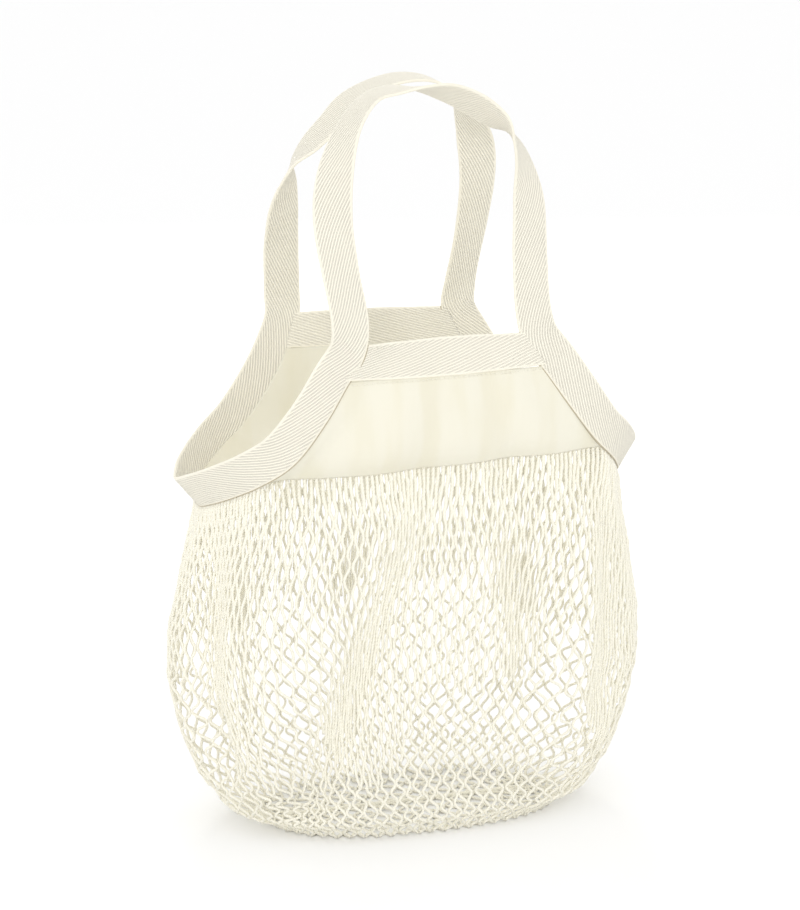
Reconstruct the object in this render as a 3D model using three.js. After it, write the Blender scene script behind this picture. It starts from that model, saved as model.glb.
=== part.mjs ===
// Cotton string shopping bag: a knitted net pouch hangs under two cloth panels, and one
// endless loop of twill tape binds the armholes and rises into the two handles.
// Millimetres, Z up, the front faces -Y, the floor is Z = 0 and the origin is under the middle.

import * as THREE from 'three';

// Thicknesses and the gap between sewn pieces.
const tapeWidth = 25;
const tapeThickness = 2;
const bandHeight = 25;
const bandThickness = 2;
const clothThickness = 1.2;
const netThickness = 2.4;
const seamGap = 0.5;

// Mouth and panels.
const mouthHeight = 327;
const mouthHalfDepth = 64;
const mouthTaper = 0.08;
const frontFootLeft = 239;
const backFootLeft = 234;
const footRight = 246;
const panelBulge = 9;
const creaseDepth = 3.5;

// Armholes: where the tape's middle line passes the sides.
const sideReach = 151.5;
const sideHeight = 227;
const frontSlantHalfDepth = 73;
const backSlantHalfDepth = 50;
const backSlantHang = 1.35;

// Handles.
const handleHalfSpread = 64;
const backRightSpread = 56;
const handleRise = 160;
const handleHalfGap = 32;

// Pouch.
const bellyHalfWidth = 160;
const bellyHalfDepth = 84;
const bellyShift = -1.5;
const baseHalfWidth = 100;
const baseHalfDepth = 65;
const baseSeamHalfLength = 78;
const foldDepth = 16;

// Tape from a side corner up to the foot of a handle leg. out runs from the leg to the side,
// deep is a share of the slant's half depth, join how far that depth has come to the mouth's,
// up runs from the side corner to the mouth, and the tape's outside turns from the front
// (0 degrees) to the side (90) and tips down; ease is the share of that turn and tip which the
// back slants keep, because they lie flatter.
const armRows = [
  { out: 1.0, deep: 0.0, join: 0.0, up: 0.0, turn: 90, tip: 40, ease: 1.0 },
  { out: 0.967, deep: 0.26, join: 0.0, up: 0.05, turn: 74, tip: 34, ease: 0.9 },
  { out: 0.867, deep: 0.55, join: 0.0, up: 0.14, turn: 54, tip: 25, ease: 0.72 },
  { out: 0.735, deep: 0.785, join: 0.0, up: 0.24, turn: 37, tip: 16, ease: 0.45 },
  { out: 0.56, deep: 0.945, join: 0.0, up: 0.37, turn: 22, tip: 8, ease: 0.05 },
  { out: 0.345, deep: 1.005, join: 0.08, up: 0.61, turn: 6, tip: 3, ease: -1.0 },
  { out: 0.172, deep: 1.0, join: 0.35, up: 0.825, turn: 2, tip: 1, ease: -2.0 },
  { out: 0.035, deep: 1.0, join: 0.66, up: 0.985, turn: 0, tip: 0, ease: 0.0 },
];

// Front handle from its right leg to its left one. across is a share of handleHalfSpread,
// lean runs from the mouth to handleHalfGap, rise is a share of handleRise, and the tape's
// outside faces right, front and up.
const frontHandleRows = [
  { across: 1.0, lean: 0.03, rise: 0.09, right: 0.0, front: 1.0, top: 0.0 },
  { across: 1.02, lean: 0.34, rise: 0.29, right: 0.05, front: 1.0, top: 0.0 },
  { across: 1.05, lean: 0.59, rise: 0.51, right: 0.25, front: 0.97, top: 0.0 },
  { across: 1.0, lean: 0.72, rise: 0.68, right: 0.75, front: 0.66, top: 0.0 },
  { across: 0.9, lean: 0.78, rise: 0.77, right: 0.94, front: 0.3, top: 0.1 },
  { across: 0.74, lean: 0.84, rise: 0.835, right: 0.85, front: -0.38, top: 0.5 },
  { across: 0.51, lean: 0.91, rise: 0.9, right: 0.5, front: -0.6, top: 0.77 },
  { across: 0.23, lean: 0.97, rise: 0.95, right: 0.3, front: -0.5, top: 0.9 },
  { across: -0.06, lean: 1.0, rise: 0.97, right: 0.1, front: -0.15, top: 1.0 },
  { across: -0.34, lean: 1.0, rise: 0.967, right: -0.2, front: 0.12, top: 1.0 },
  { across: -0.59, lean: 0.97, rise: 0.94, right: -0.5, front: 0.1, top: 0.85 },
  { across: -0.78, lean: 0.88, rise: 0.87, right: -0.85, front: 0.25, top: 0.5 },
  { across: -0.92, lean: 0.78, rise: 0.775, right: -0.9, front: 0.45, top: 0.1 },
  { across: -1.04, lean: 0.66, rise: 0.62, right: -0.6, front: 0.8, top: 0.0 },
  { across: -1.075, lean: 0.53, rise: 0.465, right: -0.2, front: 0.98, top: 0.0 },
  { across: -1.04, lean: 0.31, rise: 0.275, right: 0.0, front: 1.0, top: 0.0 },
  { across: -1.0, lean: 0.03, rise: 0.09, right: 0.0, front: 1.0, top: 0.0 },
];

// Back handle from its left leg to its right one, with the same columns.
const backHandleRows = [
  { across: -1.0, lean: 0.06, rise: 0.09, right: 0.0, front: -1.0, top: 0.0 },
  { across: -1.03, lean: 0.2, rise: 0.275, right: -0.05, front: -1.0, top: 0.0 },
  { across: -1.06, lean: 0.5, rise: 0.43, right: -0.3, front: -0.95, top: 0.0 },
  { across: -1.05, lean: 0.69, rise: 0.545, right: -0.65, front: -0.76, top: 0.0 },
  { across: -1.02, lean: 0.81, rise: 0.63, right: -0.94, front: -0.33, top: 0.1 },
  { across: -0.84, lean: 0.88, rise: 0.715, right: -0.93, front: 0.12, top: 0.35 },
  { across: -0.65, lean: 0.94, rise: 0.795, right: -0.75, front: 0.28, top: 0.6 },
  { across: -0.45, lean: 0.97, rise: 0.885, right: -0.45, front: 0.28, top: 0.87 },
  { across: -0.16, lean: 1.0, rise: 0.95, right: -0.2, front: 0.2, top: 1.0 },
  { across: 0.16, lean: 1.0, rise: 0.978, right: 0.05, front: 0.15, top: 1.0 },
  { across: 0.46, lean: 1.0, rise: 0.962, right: 0.45, front: 0.08, top: 0.85 },
  { across: 0.71, lean: 0.97, rise: 0.885, right: 0.75, front: 0.12, top: 0.5 },
  { across: 0.88, lean: 0.9, rise: 0.785, right: 0.75, front: -0.5, top: 0.25 },
  { across: 0.97, lean: 0.78, rise: 0.67, right: 0.35, front: -0.93, top: 0.05 },
  { across: 1.01, lean: 0.62, rise: 0.545, right: 0.05, front: -1.0, top: 0.0 },
  { across: 1.0, lean: 0.31, rise: 0.34, right: -0.2, front: -0.98, top: 0.0 },
  { across: 0.92, lean: 0.08, rise: 0.09, right: -0.2, front: -0.98, top: 0.0 },
];

// Soft upright creases of a panel: across runs from its left edge to its right one, slant is
// how far the crease drifts to the left on its way down, and lift is a share of creaseDepth.
const frontCreases = [
  { across: 0.17, slant: 0.09, width: 0.07, lift: -1.0 },
  { across: 0.33, slant: 0.02, width: 0.08, lift: 0.8 },
  { across: 0.48, slant: 0.03, width: 0.06, lift: -0.6 },
  { across: 0.7, slant: -0.01, width: 0.06, lift: -0.9 },
  { across: 0.82, slant: 0.0, width: 0.07, lift: 0.7 },
];
const backCreases = [
  { across: 0.25, slant: -0.03, width: 0.07, lift: -0.8 },
  { across: 0.5, slant: 0.02, width: 0.08, lift: 0.7 },
  { across: 0.72, slant: 0.04, width: 0.06, lift: -0.9 },
];

// Pouch sections from its sewn top edge to the floor: down is the share of the way along the
// net, height a share of the top edge's, width and depth shares of the belly's half sizes, and
// hold says how much of the sewn edge's own shape is left.
const pouchRows = [
  { down: 0.0, height: 1.0, width: 0.945, depth: 0.95, hold: 1.0 },
  { down: 0.08, height: 0.91, width: 0.955, depth: 0.97, hold: 0.72 },
  { down: 0.2, height: 0.77, width: 0.975, depth: 0.985, hold: 0.32 },
  { down: 0.34, height: 0.6, width: 1.0, depth: 1.0, hold: 0.06 },
  { down: 0.48, height: 0.44, width: 1.0, depth: 1.0, hold: 0.0 },
  { down: 0.62, height: 0.29, width: 0.955, depth: 0.985, hold: 0.0 },
  { down: 0.75, height: 0.16, width: 0.885, depth: 0.955, hold: 0.0 },
  { down: 0.87, height: 0.065, width: 0.79, depth: 0.9, hold: 0.0 },
];

// Folds of the pouch: around is the share of the way round from the right side by the front,
// sweep how far the fold wanders on its way down, width its spread, depth a share of
// foldDepth, and from and to where it starts and ends on the way down.
const foldRows = [
  { around: 0.095, sweep: 0.0, width: 0.018, depth: 0.4, from: 0.0, to: 0.7 },
  { around: 0.2, sweep: -0.035, width: 0.014, depth: 0.5, from: 0.1, to: 0.7 },
  { around: 0.235, sweep: 0.0, width: 0.03, depth: 0.35, from: 0.2, to: 0.9 },
  { around: 0.3, sweep: 0.07, width: 0.028, depth: 1.0, from: 0.08, to: 0.9 },
  { around: 0.452, sweep: -0.01, width: 0.02, depth: 0.9, from: 0.0, to: 0.65 },
  { around: 0.6, sweep: 0.02, width: 0.03, depth: 0.8, from: 0.1, to: 0.8 },
  { around: 0.74, sweep: -0.02, width: 0.03, depth: 0.7, from: 0.1, to: 0.85 },
  { around: 0.87, sweep: 0.02, width: 0.03, depth: 0.8, from: 0.1, to: 0.8 },
];

// How softly creases and folds end, as shares of a panel's width and of the way down.
const creaseFade = 0.08;
const foldFade = 0.15;

// Counts of the mesh: net columns run six to the middle of a panel and four round to the side.
const panelColumns = 24;
const panelRows = 5;
const bandRows = 3;
const handleSteps = 44;
const halfFrontColumns = 6;
const halfSideColumns = 4;
const gapRows = 6;
const gapShare = 0.62;
const outlinePoints = 96;
const outlineFullness = 2.5;
const searchTurns = 40;
const nearby = 0.01;

const quarterColumns = halfFrontColumns + halfSideColumns;
const netColumns = 4 * quarterColumns;
const radians = THREE.MathUtils.degToRad;
const { lerp, smoothstep } = THREE.MathUtils;

// A finish for one kind of cotton.
function cotton(color, roughness) {
  return new THREE.MeshStandardMaterial({ color, roughness, metalness: 0 });
}
const twillFinish = cotton(0xf5f1dd, 0.9);
const clothFinish = cotton(0xfaf6e4, 0.92);
const stringFinish = cotton(0xf4efd9, 0.95);

// The bag stands wider open on its left side than on its right one.
function depthAt(across, depth) {
  return depth * (1 - mouthTaper * THREE.MathUtils.clamp(across / handleHalfSpread, -1, 1));
}

// How far a handle leg stands from the middle; the back handle's right leg stands closer in.
function legSpread(side, face) {
  return side > 0 && face > 0 ? backRightSpread : handleHalfSpread;
}

// A row of armRows on one side (+1 right, -1 left) of one face (-1 front, +1 back). The back
// slants hang steeper, by a power of the share that runs out to the side.
function armStation(row, side, face) {
  const ease = face < 0 ? 1 : row.ease;
  const turn = radians(row.turn * ease);
  const tip = radians(row.tip * ease);
  const out = face < 0 ? row.out : row.out ** backSlantHang;
  const across = side * lerp(legSpread(side, face), sideReach, out);
  const slantHalfDepth = face < 0 ? frontSlantHalfDepth : backSlantHalfDepth;
  const depth = lerp(row.deep * slantHalfDepth, mouthHalfDepth, row.join);
  return {
    point: new THREE.Vector3(
      across,
      face * depthAt(across, depth),
      lerp(sideHeight, mouthHeight, row.up),
    ),
    facing: new THREE.Vector3(
      side * Math.sin(turn) * Math.cos(tip),
      face * Math.cos(turn) * Math.cos(tip),
      -Math.sin(tip),
    ),
  };
}

// A row of a handle table; the face is -1 for the front and +1 for the back.
function handleStation(row, face) {
  const across = row.across * handleHalfSpread;
  return {
    point: new THREE.Vector3(
      across,
      face * depthAt(across, lerp(mouthHalfDepth, handleHalfGap, row.lean)),
      mouthHeight + row.rise * handleRise,
    ),
    facing: new THREE.Vector3(row.right, -row.front, row.top),
  };
}

// All stations of the endless tape, from the right side corner over the front handle to the
// left corner and back over the back handle.
function tapeStations() {
  const upwards = (side, face) => armRows.map((row) => armStation(row, side, face));
  const downwards = (side, face) => upwards(side, face).reverse();
  const frontHandle = frontHandleRows.map((row) => handleStation(row, -1));
  const backHandle = backHandleRows.map((row) => handleStation(row, 1));
  return [
    ...upwards(1, -1),
    ...frontHandle,
    ...downwards(-1, -1).slice(0, -1),
    ...upwards(-1, 1),
    ...backHandle,
    ...downwards(1, 1).slice(0, -1),
  ];
}

const stations = tapeStations();
const tapeLine = new THREE.CatmullRomCurve3(stations.map((s) => s.point), true, 'centripetal');
const tapeFacing = new THREE.CatmullRomCurve3(stations.map((s) => s.facing), true, 'centripetal');

// The tape's section at a station number, which may lie between two stations: its middle, its
// outward direction and its direction from the inner edge to the outer one.
function tapeFrame(station) {
  const share = THREE.MathUtils.euclideanModulo(station / stations.length, 1);
  const middle = tapeLine.getPoint(share);
  const along = tapeLine.getTangent(share);
  const facing = tapeFacing.getPoint(share);
  const outward = facing.addScaledVector(along, -facing.dot(along)).normalize();
  const across = new THREE.Vector3().crossVectors(along, outward).normalize();
  return { middle, outward, across };
}

// A point beyond the tape's inner edge, where the next piece is sewn on.
function innerSeam(station) {
  const frame = tapeFrame(station);
  return frame.middle.clone().addScaledVector(frame.across, -(tapeWidth / 2 + seamGap));
}

// The station between two others at which the inner seam reaches a height.
function stationAtHeight(low, high, height) {
  let [below, above] = [low, high];
  for (let turn = 0; turn < searchTurns; turn += 1) {
    const middle = (below + above) / 2;
    if (innerSeam(middle).z < height) below = middle;
    else above = middle;
  }
  return (below + above) / 2;
}

// How low a face's panel reaches, from the bag's left side (0) to its right one (1).
function footHeight(face, share) {
  const footLeft = face < 0 ? frontFootLeft : backFootLeft;
  return lerp(footLeft, footRight, THREE.MathUtils.clamp(share, 0, 1));
}

// One of the four quarters of the tape, from its side corner's station up to the handle, with
// the stations at the panel's foot, the band's foot and the mouth.
function quarter(corner, direction, side, face) {
  const top = corner + direction * (armRows.length + 1);
  const reach = (height) => stationAtHeight(corner, top, height);
  return {
    corner,
    foot: reach(footHeight(face, (side + 1) / 2)),
    bandFoot: reach(mouthHeight - bandHeight - seamGap),
    bandHead: reach(mouthHeight - bandHeight),
    mouth: reach(mouthHeight),
  };
}

const leftCorner = 2 * armRows.length + frontHandleRows.length - 1;
const quarters = {
  frontRight: quarter(0, 1, 1, -1),
  frontLeft: quarter(leftCorner, -1, -1, -1),
  backLeft: quarter(leftCorner, 1, -1, 1),
  backRight: quarter(stations.length, -1, 1, 1),
};

// Evenly spaced numbers from one value to another, both included.
function spread(from, to, steps) {
  return Array.from({ length: steps + 1 }, (_, step) => lerp(from, to, step / steps));
}

// Stations of the closed tape in order. Those beside the net fall on the net's own columns.
function tapeMeshStations() {
  const arm = (q) => [
    ...spread(q.corner, q.foot, halfSideColumns).slice(0, -1),
    ...spread(q.foot, q.bandFoot, panelRows).slice(0, -1),
    ...spread(q.bandHead, q.mouth, bandRows),
  ];
  const over = (from, to) => spread(from.mouth, to.mouth, handleSteps).slice(1, -1);
  const { frontRight, frontLeft, backLeft, backRight } = quarters;
  return [
    ...arm(frontRight),
    ...over(frontRight, frontLeft),
    ...arm(frontLeft).reverse(),
    ...arm(backLeft).slice(1),
    ...over(backLeft, backRight),
    ...arm(backRight).reverse().slice(0, -1),
  ];
}

// Collects vertices and faces of one closed mesh.
class MeshBuilder {
  constructor() {
    this.positions = [];
    this.indices = [];
  }

  vertex(point) {
    this.positions.push(point.x, point.y, point.z);
    return this.positions.length / 3 - 1;
  }

  face(...corners) {
    for (let corner = 1; corner < corners.length - 1; corner += 1) {
      this.indices.push(corners[0], corners[corner], corners[corner + 1]);
    }
  }

  mesh(name, material) {
    const geometry = new THREE.BufferGeometry();
    geometry.setAttribute('position', new THREE.Float32BufferAttribute(this.positions, 3));
    geometry.setIndex(this.indices);
    geometry.computeVertexNormals();
    const mesh = new THREE.Mesh(geometry, material);
    mesh.name = name;
    return mesh;
  }
}

// The whole tape: a flat section carried round the closed line.
function webbingLoop() {
  const builder = new MeshBuilder();
  const corners = [[1, 1], [-1, 1], [-1, -1], [1, -1]];
  const rings = tapeMeshStations().map((station) => {
    const { middle, outward, across } = tapeFrame(station);
    return corners.map(([side, face]) => builder.vertex(middle.clone()
      .addScaledVector(across, side * tapeWidth / 2)
      .addScaledVector(outward, face * tapeThickness / 2)));
  });
  rings.forEach((ring, index) => {
    const next = rings[(index + 1) % rings.length];
    ring.forEach((corner, side) => {
      const beside = (side + 1) % ring.length;
      builder.face(corner, next[side], next[beside], ring[beside]);
    });
  });
  return builder.mesh('webbing_loop', twillFinish);
}

// The outward direction of a grid of points at one of them, from its neighbours.
function gridNormal(grid, row, column) {
  const clampRow = (value) => THREE.MathUtils.clamp(value, 0, grid.length - 1);
  const clampColumn = (value) => THREE.MathUtils.clamp(value, 0, grid[0].length - 1);
  const down = grid[clampRow(row + 1)][column].clone().sub(grid[clampRow(row - 1)][column]);
  const left = grid[row][clampColumn(column - 1)];
  const across = grid[row][clampColumn(column + 1)].clone().sub(left);
  return down.cross(across).normalize();
}

// A closed sheet of cloth around a grid of middle points, rows going down and columns going
// to the right as the sheet is seen from outside.
function clothSheet(grid, thickness, name, material) {
  const builder = new MeshBuilder();
  const layer = (side) => grid.map((line, row) => line.map((point, column) => builder.vertex(
    point.clone().addScaledVector(gridNormal(grid, row, column), side * thickness / 2),
  )));
  const outside = layer(1);
  const inside = layer(-1);
  const lastRow = grid.length - 1;
  const lastColumn = grid[0].length - 1;
  for (let row = 0; row < lastRow; row += 1) {
    for (let column = 0; column < lastColumn; column += 1) {
      const corners = [[row, column], [row + 1, column], [row + 1, column + 1], [row, column + 1]];
      builder.face(...corners.map(([r, c]) => outside[r][c]));
      builder.face(...corners.map(([r, c]) => inside[r][c]).reverse());
    }
  }
  for (let column = 0; column < lastColumn; column += 1) {
    const beside = column + 1;
    builder.face(outside[0][column], outside[0][beside], inside[0][beside], inside[0][column]);
    builder.face(
      outside[lastRow][beside], outside[lastRow][column],
      inside[lastRow][column], inside[lastRow][beside],
    );
  }
  for (let row = 0; row < lastRow; row += 1) {
    const under = row + 1;
    builder.face(outside[under][0], outside[row][0], inside[row][0], inside[under][0]);
    builder.face(
      outside[row][lastColumn], outside[under][lastColumn],
      inside[under][lastColumn], inside[row][lastColumn],
    );
  }
  return builder.mesh(name, material);
}

// How far a panel stands proud of the straight line between its edges, at a share of the way
// across and down from the mouth to the foot.
function panelSwell(across, down, creases) {
  const arch = Math.sin(Math.PI * across) * panelBulge * down;
  const waves = creases.map((crease) => {
    const offset = (across - crease.across + crease.slant * down) / crease.width;
    return crease.lift * Math.exp(-offset * offset);
  });
  const fade = smoothstep(across, 0, creaseFade) * smoothstep(1 - across, 0, creaseFade);
  return arch + creaseDepth * down * fade * waves.reduce((sum, wave) => sum + wave, 0);
}

// Rows of middle points between the tape's two inner seams. first is the piece's left edge as
// it is seen from outside; both lists give the stations of its rows.
function panelGrid(leftStations, rightStations, face, creases) {
  return leftStations.map((station, row) => {
    const left = innerSeam(station);
    const right = innerSeam(rightStations[row]);
    return spread(0, 1, panelColumns).map((across) => {
      const point = left.clone().lerp(right, across);
      const foot = footHeight(face, (point.x / handleHalfSpread + 1) / 2);
      const down = (mouthHeight - point.z) / (mouthHeight - foot);
      point.y += face * panelSwell(across, down, creases);
      return point;
    });
  });
}

// The panel and the band of one face, with the quarters on its left and right from outside.
function panelPieces(left, right, face, creases, prefix) {
  const lines = (top, foot, steps) => [left, right].map((q) => spread(q[top], q[foot], steps));
  const panel = panelGrid(...lines('bandFoot', 'foot', panelRows), face, creases);
  const band = panelGrid(...lines('mouth', 'bandHead', bandRows), face, creases);
  return {
    foot: panel[panelRows],
    meshes: [
      clothSheet(panel, clothThickness, `${prefix}_panel`, clothFinish),
      clothSheet(band, bandThickness, `${prefix}_top_band`, twillFinish),
    ],
  };
}

// The pouch's sewn edge: under each panel's foot, and along the tape's inner edge round the
// sides. It starts at the right side and runs by the front. Each entry is a middle point and
// the direction of the wall's thickness.
function sewnEdge(frontFoot, backFoot) {
  const underTape = (station) => ({
    point: innerSeam(station),
    outward: tapeFrame(station).outward,
  });
  const underPanel = (foot, across, outward) => {
    const place = across * panelColumns;
    const column = Math.min(Math.floor(place), panelColumns - 1);
    const point = foot[column].clone().lerp(foot[column + 1], place - column);
    point.z -= seamGap;
    return { point, outward };
  };
  const frontward = new THREE.Vector3(0, -1, 0);
  const backward = new THREE.Vector3(0, 1, 0);
  const sideEdge = (q) => spread(q.corner, q.foot, halfSideColumns).slice(0, -1).map(underTape);
  const acrossPanel = spread(0, 1, 2 * halfFrontColumns);
  const front = acrossPanel.map((across) => underPanel(frontFoot, 1 - across, frontward));
  const back = acrossPanel.map((across) => underPanel(backFoot, 1 - across, backward));
  return [
    ...sideEdge(quarters.frontRight),
    ...front,
    ...sideEdge(quarters.frontLeft).reverse().slice(0, -1),
    ...sideEdge(quarters.backLeft),
    ...back,
    ...sideEdge(quarters.backRight).reverse().slice(0, -1),
  ];
}

// A plump outline with even spacing round it, from the right side by the front.
function plumpOutline(halfWidth, halfDepth) {
  const bend = (value) => Math.sign(value) * Math.abs(value) ** (2 / outlineFullness);
  const angles = spread(0, 2 * Math.PI, outlinePoints).slice(0, -1);
  const points = angles.map((angle) => new THREE.Vector3(
    halfWidth * bend(Math.cos(angle)),
    -halfDepth * bend(Math.sin(angle)),
    0,
  ));
  return new THREE.CatmullRomCurve3(points, true, 'centripetal');
}
const bellyOutline = plumpOutline(bellyHalfWidth, bellyHalfDepth);
const baseOutline = plumpOutline(baseHalfWidth, baseHalfDepth);

// The value of a column of pouchRows at a share of the way down.
function pouchValue(column, down) {
  const last = pouchRows.length - 1;
  const above = pouchRows.findLastIndex((row) => row.down <= down);
  const row = pouchRows[Math.min(above, last - 1)];
  const next = pouchRows[Math.min(above, last - 1) + 1];
  return lerp(row[column], next[column], (down - row.down) / (next.down - row.down));
}

// How deep the folds press the wall in at a place round and down.
function foldPress(around, down) {
  return foldRows.reduce((sum, fold) => {
    const centre = fold.around + fold.sweep * down;
    const apart = THREE.MathUtils.euclideanModulo(around - centre + 0.5, 1) - 0.5;
    const start = smoothstep(down, fold.from, fold.from + foldFade);
    const end = 1 - smoothstep(down, fold.to - foldFade, fold.to);
    return sum + fold.depth * start * end * Math.exp(-((apart / fold.width) ** 2));
  }, 0) * foldDepth;
}

// A middle point of the pouch's wall. column counts round from the right side by the front.
function pouchPoint(edge, column, down) {
  const below = Math.floor(column) % netColumns;
  const beside = (below + 1) % netColumns;
  const sewn = edge[below].point.clone().lerp(edge[beside].point, column - Math.floor(column));
  const around = THREE.MathUtils.euclideanModulo(column / netColumns, 1);
  const belly = bellyOutline.getPointAt(around);
  const base = baseOutline.getPointAt(around);
  const last = pouchRows[pouchRows.length - 1];
  const tuck = smoothstep(down, last.down, 1);
  const flat = Math.min(down, last.down);
  const width = pouchValue('width', flat);
  const depth = pouchValue('depth', flat);
  const body = new THREE.Vector3(belly.x * width + bellyShift, belly.y * depth, 0);
  body.lerp(new THREE.Vector3(base.x + bellyShift, base.y, 0), tuck);
  const inward = new THREE.Vector3(-belly.x / bellyHalfWidth, -belly.y / bellyHalfDepth, 0);
  body.addScaledVector(inward.normalize(), foldPress(around, down));
  const point = body.lerp(sewn, pouchValue('hold', flat));
  const height = lerp(pouchValue('height', flat), 0, (down - flat) / (1 - last.down));
  point.z = lerp(netThickness / 2, sewn.z, height);
  return point;
}

// The outward direction of the pouch's wall at a place, from points close by.
function pouchNormal(edge, column, down) {
  const [left, right] = [column - nearby + netColumns, column + nearby + netColumns];
  const round = pouchPoint(edge, right, down).sub(pouchPoint(edge, left, down));
  const upper = Math.max(down - nearby, 0);
  const lower = Math.min(down + nearby, 1);
  const along = pouchPoint(edge, column, lower).sub(pouchPoint(edge, column, upper));
  return round.cross(along).normalize();
}

// The net pouch: a wall with open diamond gaps, closed by a flat bottom with a seam.
function netPouch(edge) {
  const builder = new MeshBuilder();
  const bands = gapRows + 1;
  const known = new Map();

  // The outer and inner vertex at a lattice place, made once.
  const pair = (column, row) => {
    const turned = THREE.MathUtils.euclideanModulo(column, netColumns);
    const key = `${turned.toFixed(4)},${row.toFixed(4)}`;
    if (!known.has(key)) {
      const down = row / bands;
      const point = pouchPoint(edge, turned, down);
      let outward = pouchNormal(edge, turned, down);
      if (row === 0) outward = edge[turned].outward;
      if (row === bands) outward = new THREE.Vector3(0, 0, -1);
      known.set(key, [1, -1].map((side) => builder.vertex(
        point.clone().addScaledVector(outward, side * netThickness / 2),
      )));
    }
    return known.get(key);
  };
  const wallFace = (places) => {
    const pairs = places.map(([column, row]) => pair(column, row));
    builder.face(...pairs.map(([outer]) => outer).reverse());
    builder.face(...pairs.map(([, inner]) => inner));
  };
  const rim = (places) => places.forEach((place, index) => {
    if (index === places.length - 1) return;
    const [outer, inner] = pair(...place);
    const [nextOuter, nextInner] = pair(...places[index + 1]);
    builder.face(outer, inner, nextInner, nextOuter);
  });

  // One diamond cell: a ring of wall round an open gap.
  const cell = (column, row) => {
    const outline = [
      [0, -1], [-0.5, -0.5], [-1, 0], [-0.5, 0.5], [0, 1], [0.5, 0.5], [1, 0], [0.5, -0.5],
    ];
    const at = ([across, down], share) => [column + across * share, row + down * share];
    outline.forEach((place, index) => {
      const next = outline[(index + 1) % outline.length];
      wallFace([at(place, 1), at(next, 1), at(next, gapShare), at(place, gapShare)]);
    });
    rim([...outline, outline[0]].map((place) => at(place, gapShare)));
  };

  // Half a diamond without a gap, at the sewn edge (side 1) or at the base (side -1).
  const halfCell = (column, row, side) => {
    const fan = [
      [column - side, row], [column - side / 2, row + side / 2], [column, row + side],
      [column + side / 2, row + side / 2], [column + side, row],
    ];
    fan.slice(0, -1).forEach((place, index) => wallFace([[column, row], place, fan[index + 1]]));
  };

  for (let column = 0; column < netColumns; column += 1) {
    for (let row = 1; row < bands; row += 1) {
      if ((column + row) % 2 === 1) cell(column, row);
    }
    if (column % 2 === 1) halfCell(column, 0, 1);
    if ((column + bands) % 2 === 1) halfCell(column, bands, -1);
    rim([[column, 0], [column + 1, 0]]);
  }
  closeBase(builder, pair, bands);
  return builder.mesh('net_pouch', stringFinish);
}

// The flat bottom between the base ring and the seam along its middle.
function closeBase(builder, pair, bands) {
  const seam = new Map();
  const seamPair = (column) => {
    const mirrored = Math.min(column, netColumns - column);
    if (!seam.has(mirrored)) {
      const share = Math.cos(Math.PI * mirrored / (netColumns / 2));
      seam.set(mirrored, [0, netThickness].map((height) => builder.vertex(
        new THREE.Vector3(bellyShift + baseSeamHalfLength * share, 0, height),
      )));
    }
    return seam.get(mirrored);
  };
  for (let column = 0; column < netColumns; column += 1) {
    const beside = column + 1;
    const corners = [
      pair(column, bands), pair(beside, bands), seamPair(beside), seamPair(column),
    ];
    builder.face(...corners.map(([outer]) => outer));
    builder.face(...corners.map(([, inner]) => inner).reverse());
  }
}

const front = panelPieces(quarters.frontLeft, quarters.frontRight, -1, frontCreases, 'front');
const back = panelPieces(quarters.backRight, quarters.backLeft, 1, backCreases, 'back');
const bag = new THREE.Group();
bag.add(webbingLoop(), ...front.meshes, ...back.meshes, netPouch(sewnEdge(front.foot, back.foot)));

export default bag;
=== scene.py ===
"""Cotton string shopping bag: a knitted net pouch, cloth panels and an endless twill tape.

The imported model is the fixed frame, and each soft piece is made where its solid lies.
Metres, Z up, the front faces -Y, the floor is Z = 0 and the origin is under the middle.
"""
import math
from bisect import bisect_right
from collections import namedtuple

import bmesh
import bpy
from bpy.props import FloatProperty, FloatVectorProperty, IntProperty, PointerProperty
from mathutils import Matrix, Vector, noise


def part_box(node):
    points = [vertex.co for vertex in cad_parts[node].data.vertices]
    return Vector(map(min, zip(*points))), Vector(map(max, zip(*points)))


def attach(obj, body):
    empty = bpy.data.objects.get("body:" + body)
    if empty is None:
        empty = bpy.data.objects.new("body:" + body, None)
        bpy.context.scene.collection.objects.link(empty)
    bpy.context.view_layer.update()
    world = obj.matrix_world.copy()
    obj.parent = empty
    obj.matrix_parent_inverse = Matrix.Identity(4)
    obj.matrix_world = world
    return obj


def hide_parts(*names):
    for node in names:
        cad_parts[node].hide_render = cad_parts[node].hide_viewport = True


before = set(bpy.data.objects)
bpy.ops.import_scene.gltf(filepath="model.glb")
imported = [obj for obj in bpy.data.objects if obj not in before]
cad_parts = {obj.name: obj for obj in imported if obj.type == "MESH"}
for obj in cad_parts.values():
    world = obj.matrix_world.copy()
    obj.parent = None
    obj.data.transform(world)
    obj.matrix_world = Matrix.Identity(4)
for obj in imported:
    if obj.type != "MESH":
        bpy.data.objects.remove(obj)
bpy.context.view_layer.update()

bl_info = {
    "name": "String Shopping Bag",
    "version": (1, 0, 0),
    "blender": (4, 5, 0),
    "location": "View3D > Sidebar > Shopping Bag",
    "description": "Dresses the frame of a knitted cotton shopping bag",
    "category": "Object",
}

# The mouth and the panels.
MOUTH_HEIGHT = 0.327
MOUTH_HALF_DEPTH = 0.064
MOUTH_TAPER = 0.08
BAND_HEIGHT = 0.025
FRONT_FOOT_LEFT = 0.239
BACK_FOOT_LEFT = 0.229
FOOT_RIGHT = 0.246
PANEL_BULGE = 0.009
SEAM_GAP = 0.0005

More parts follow.
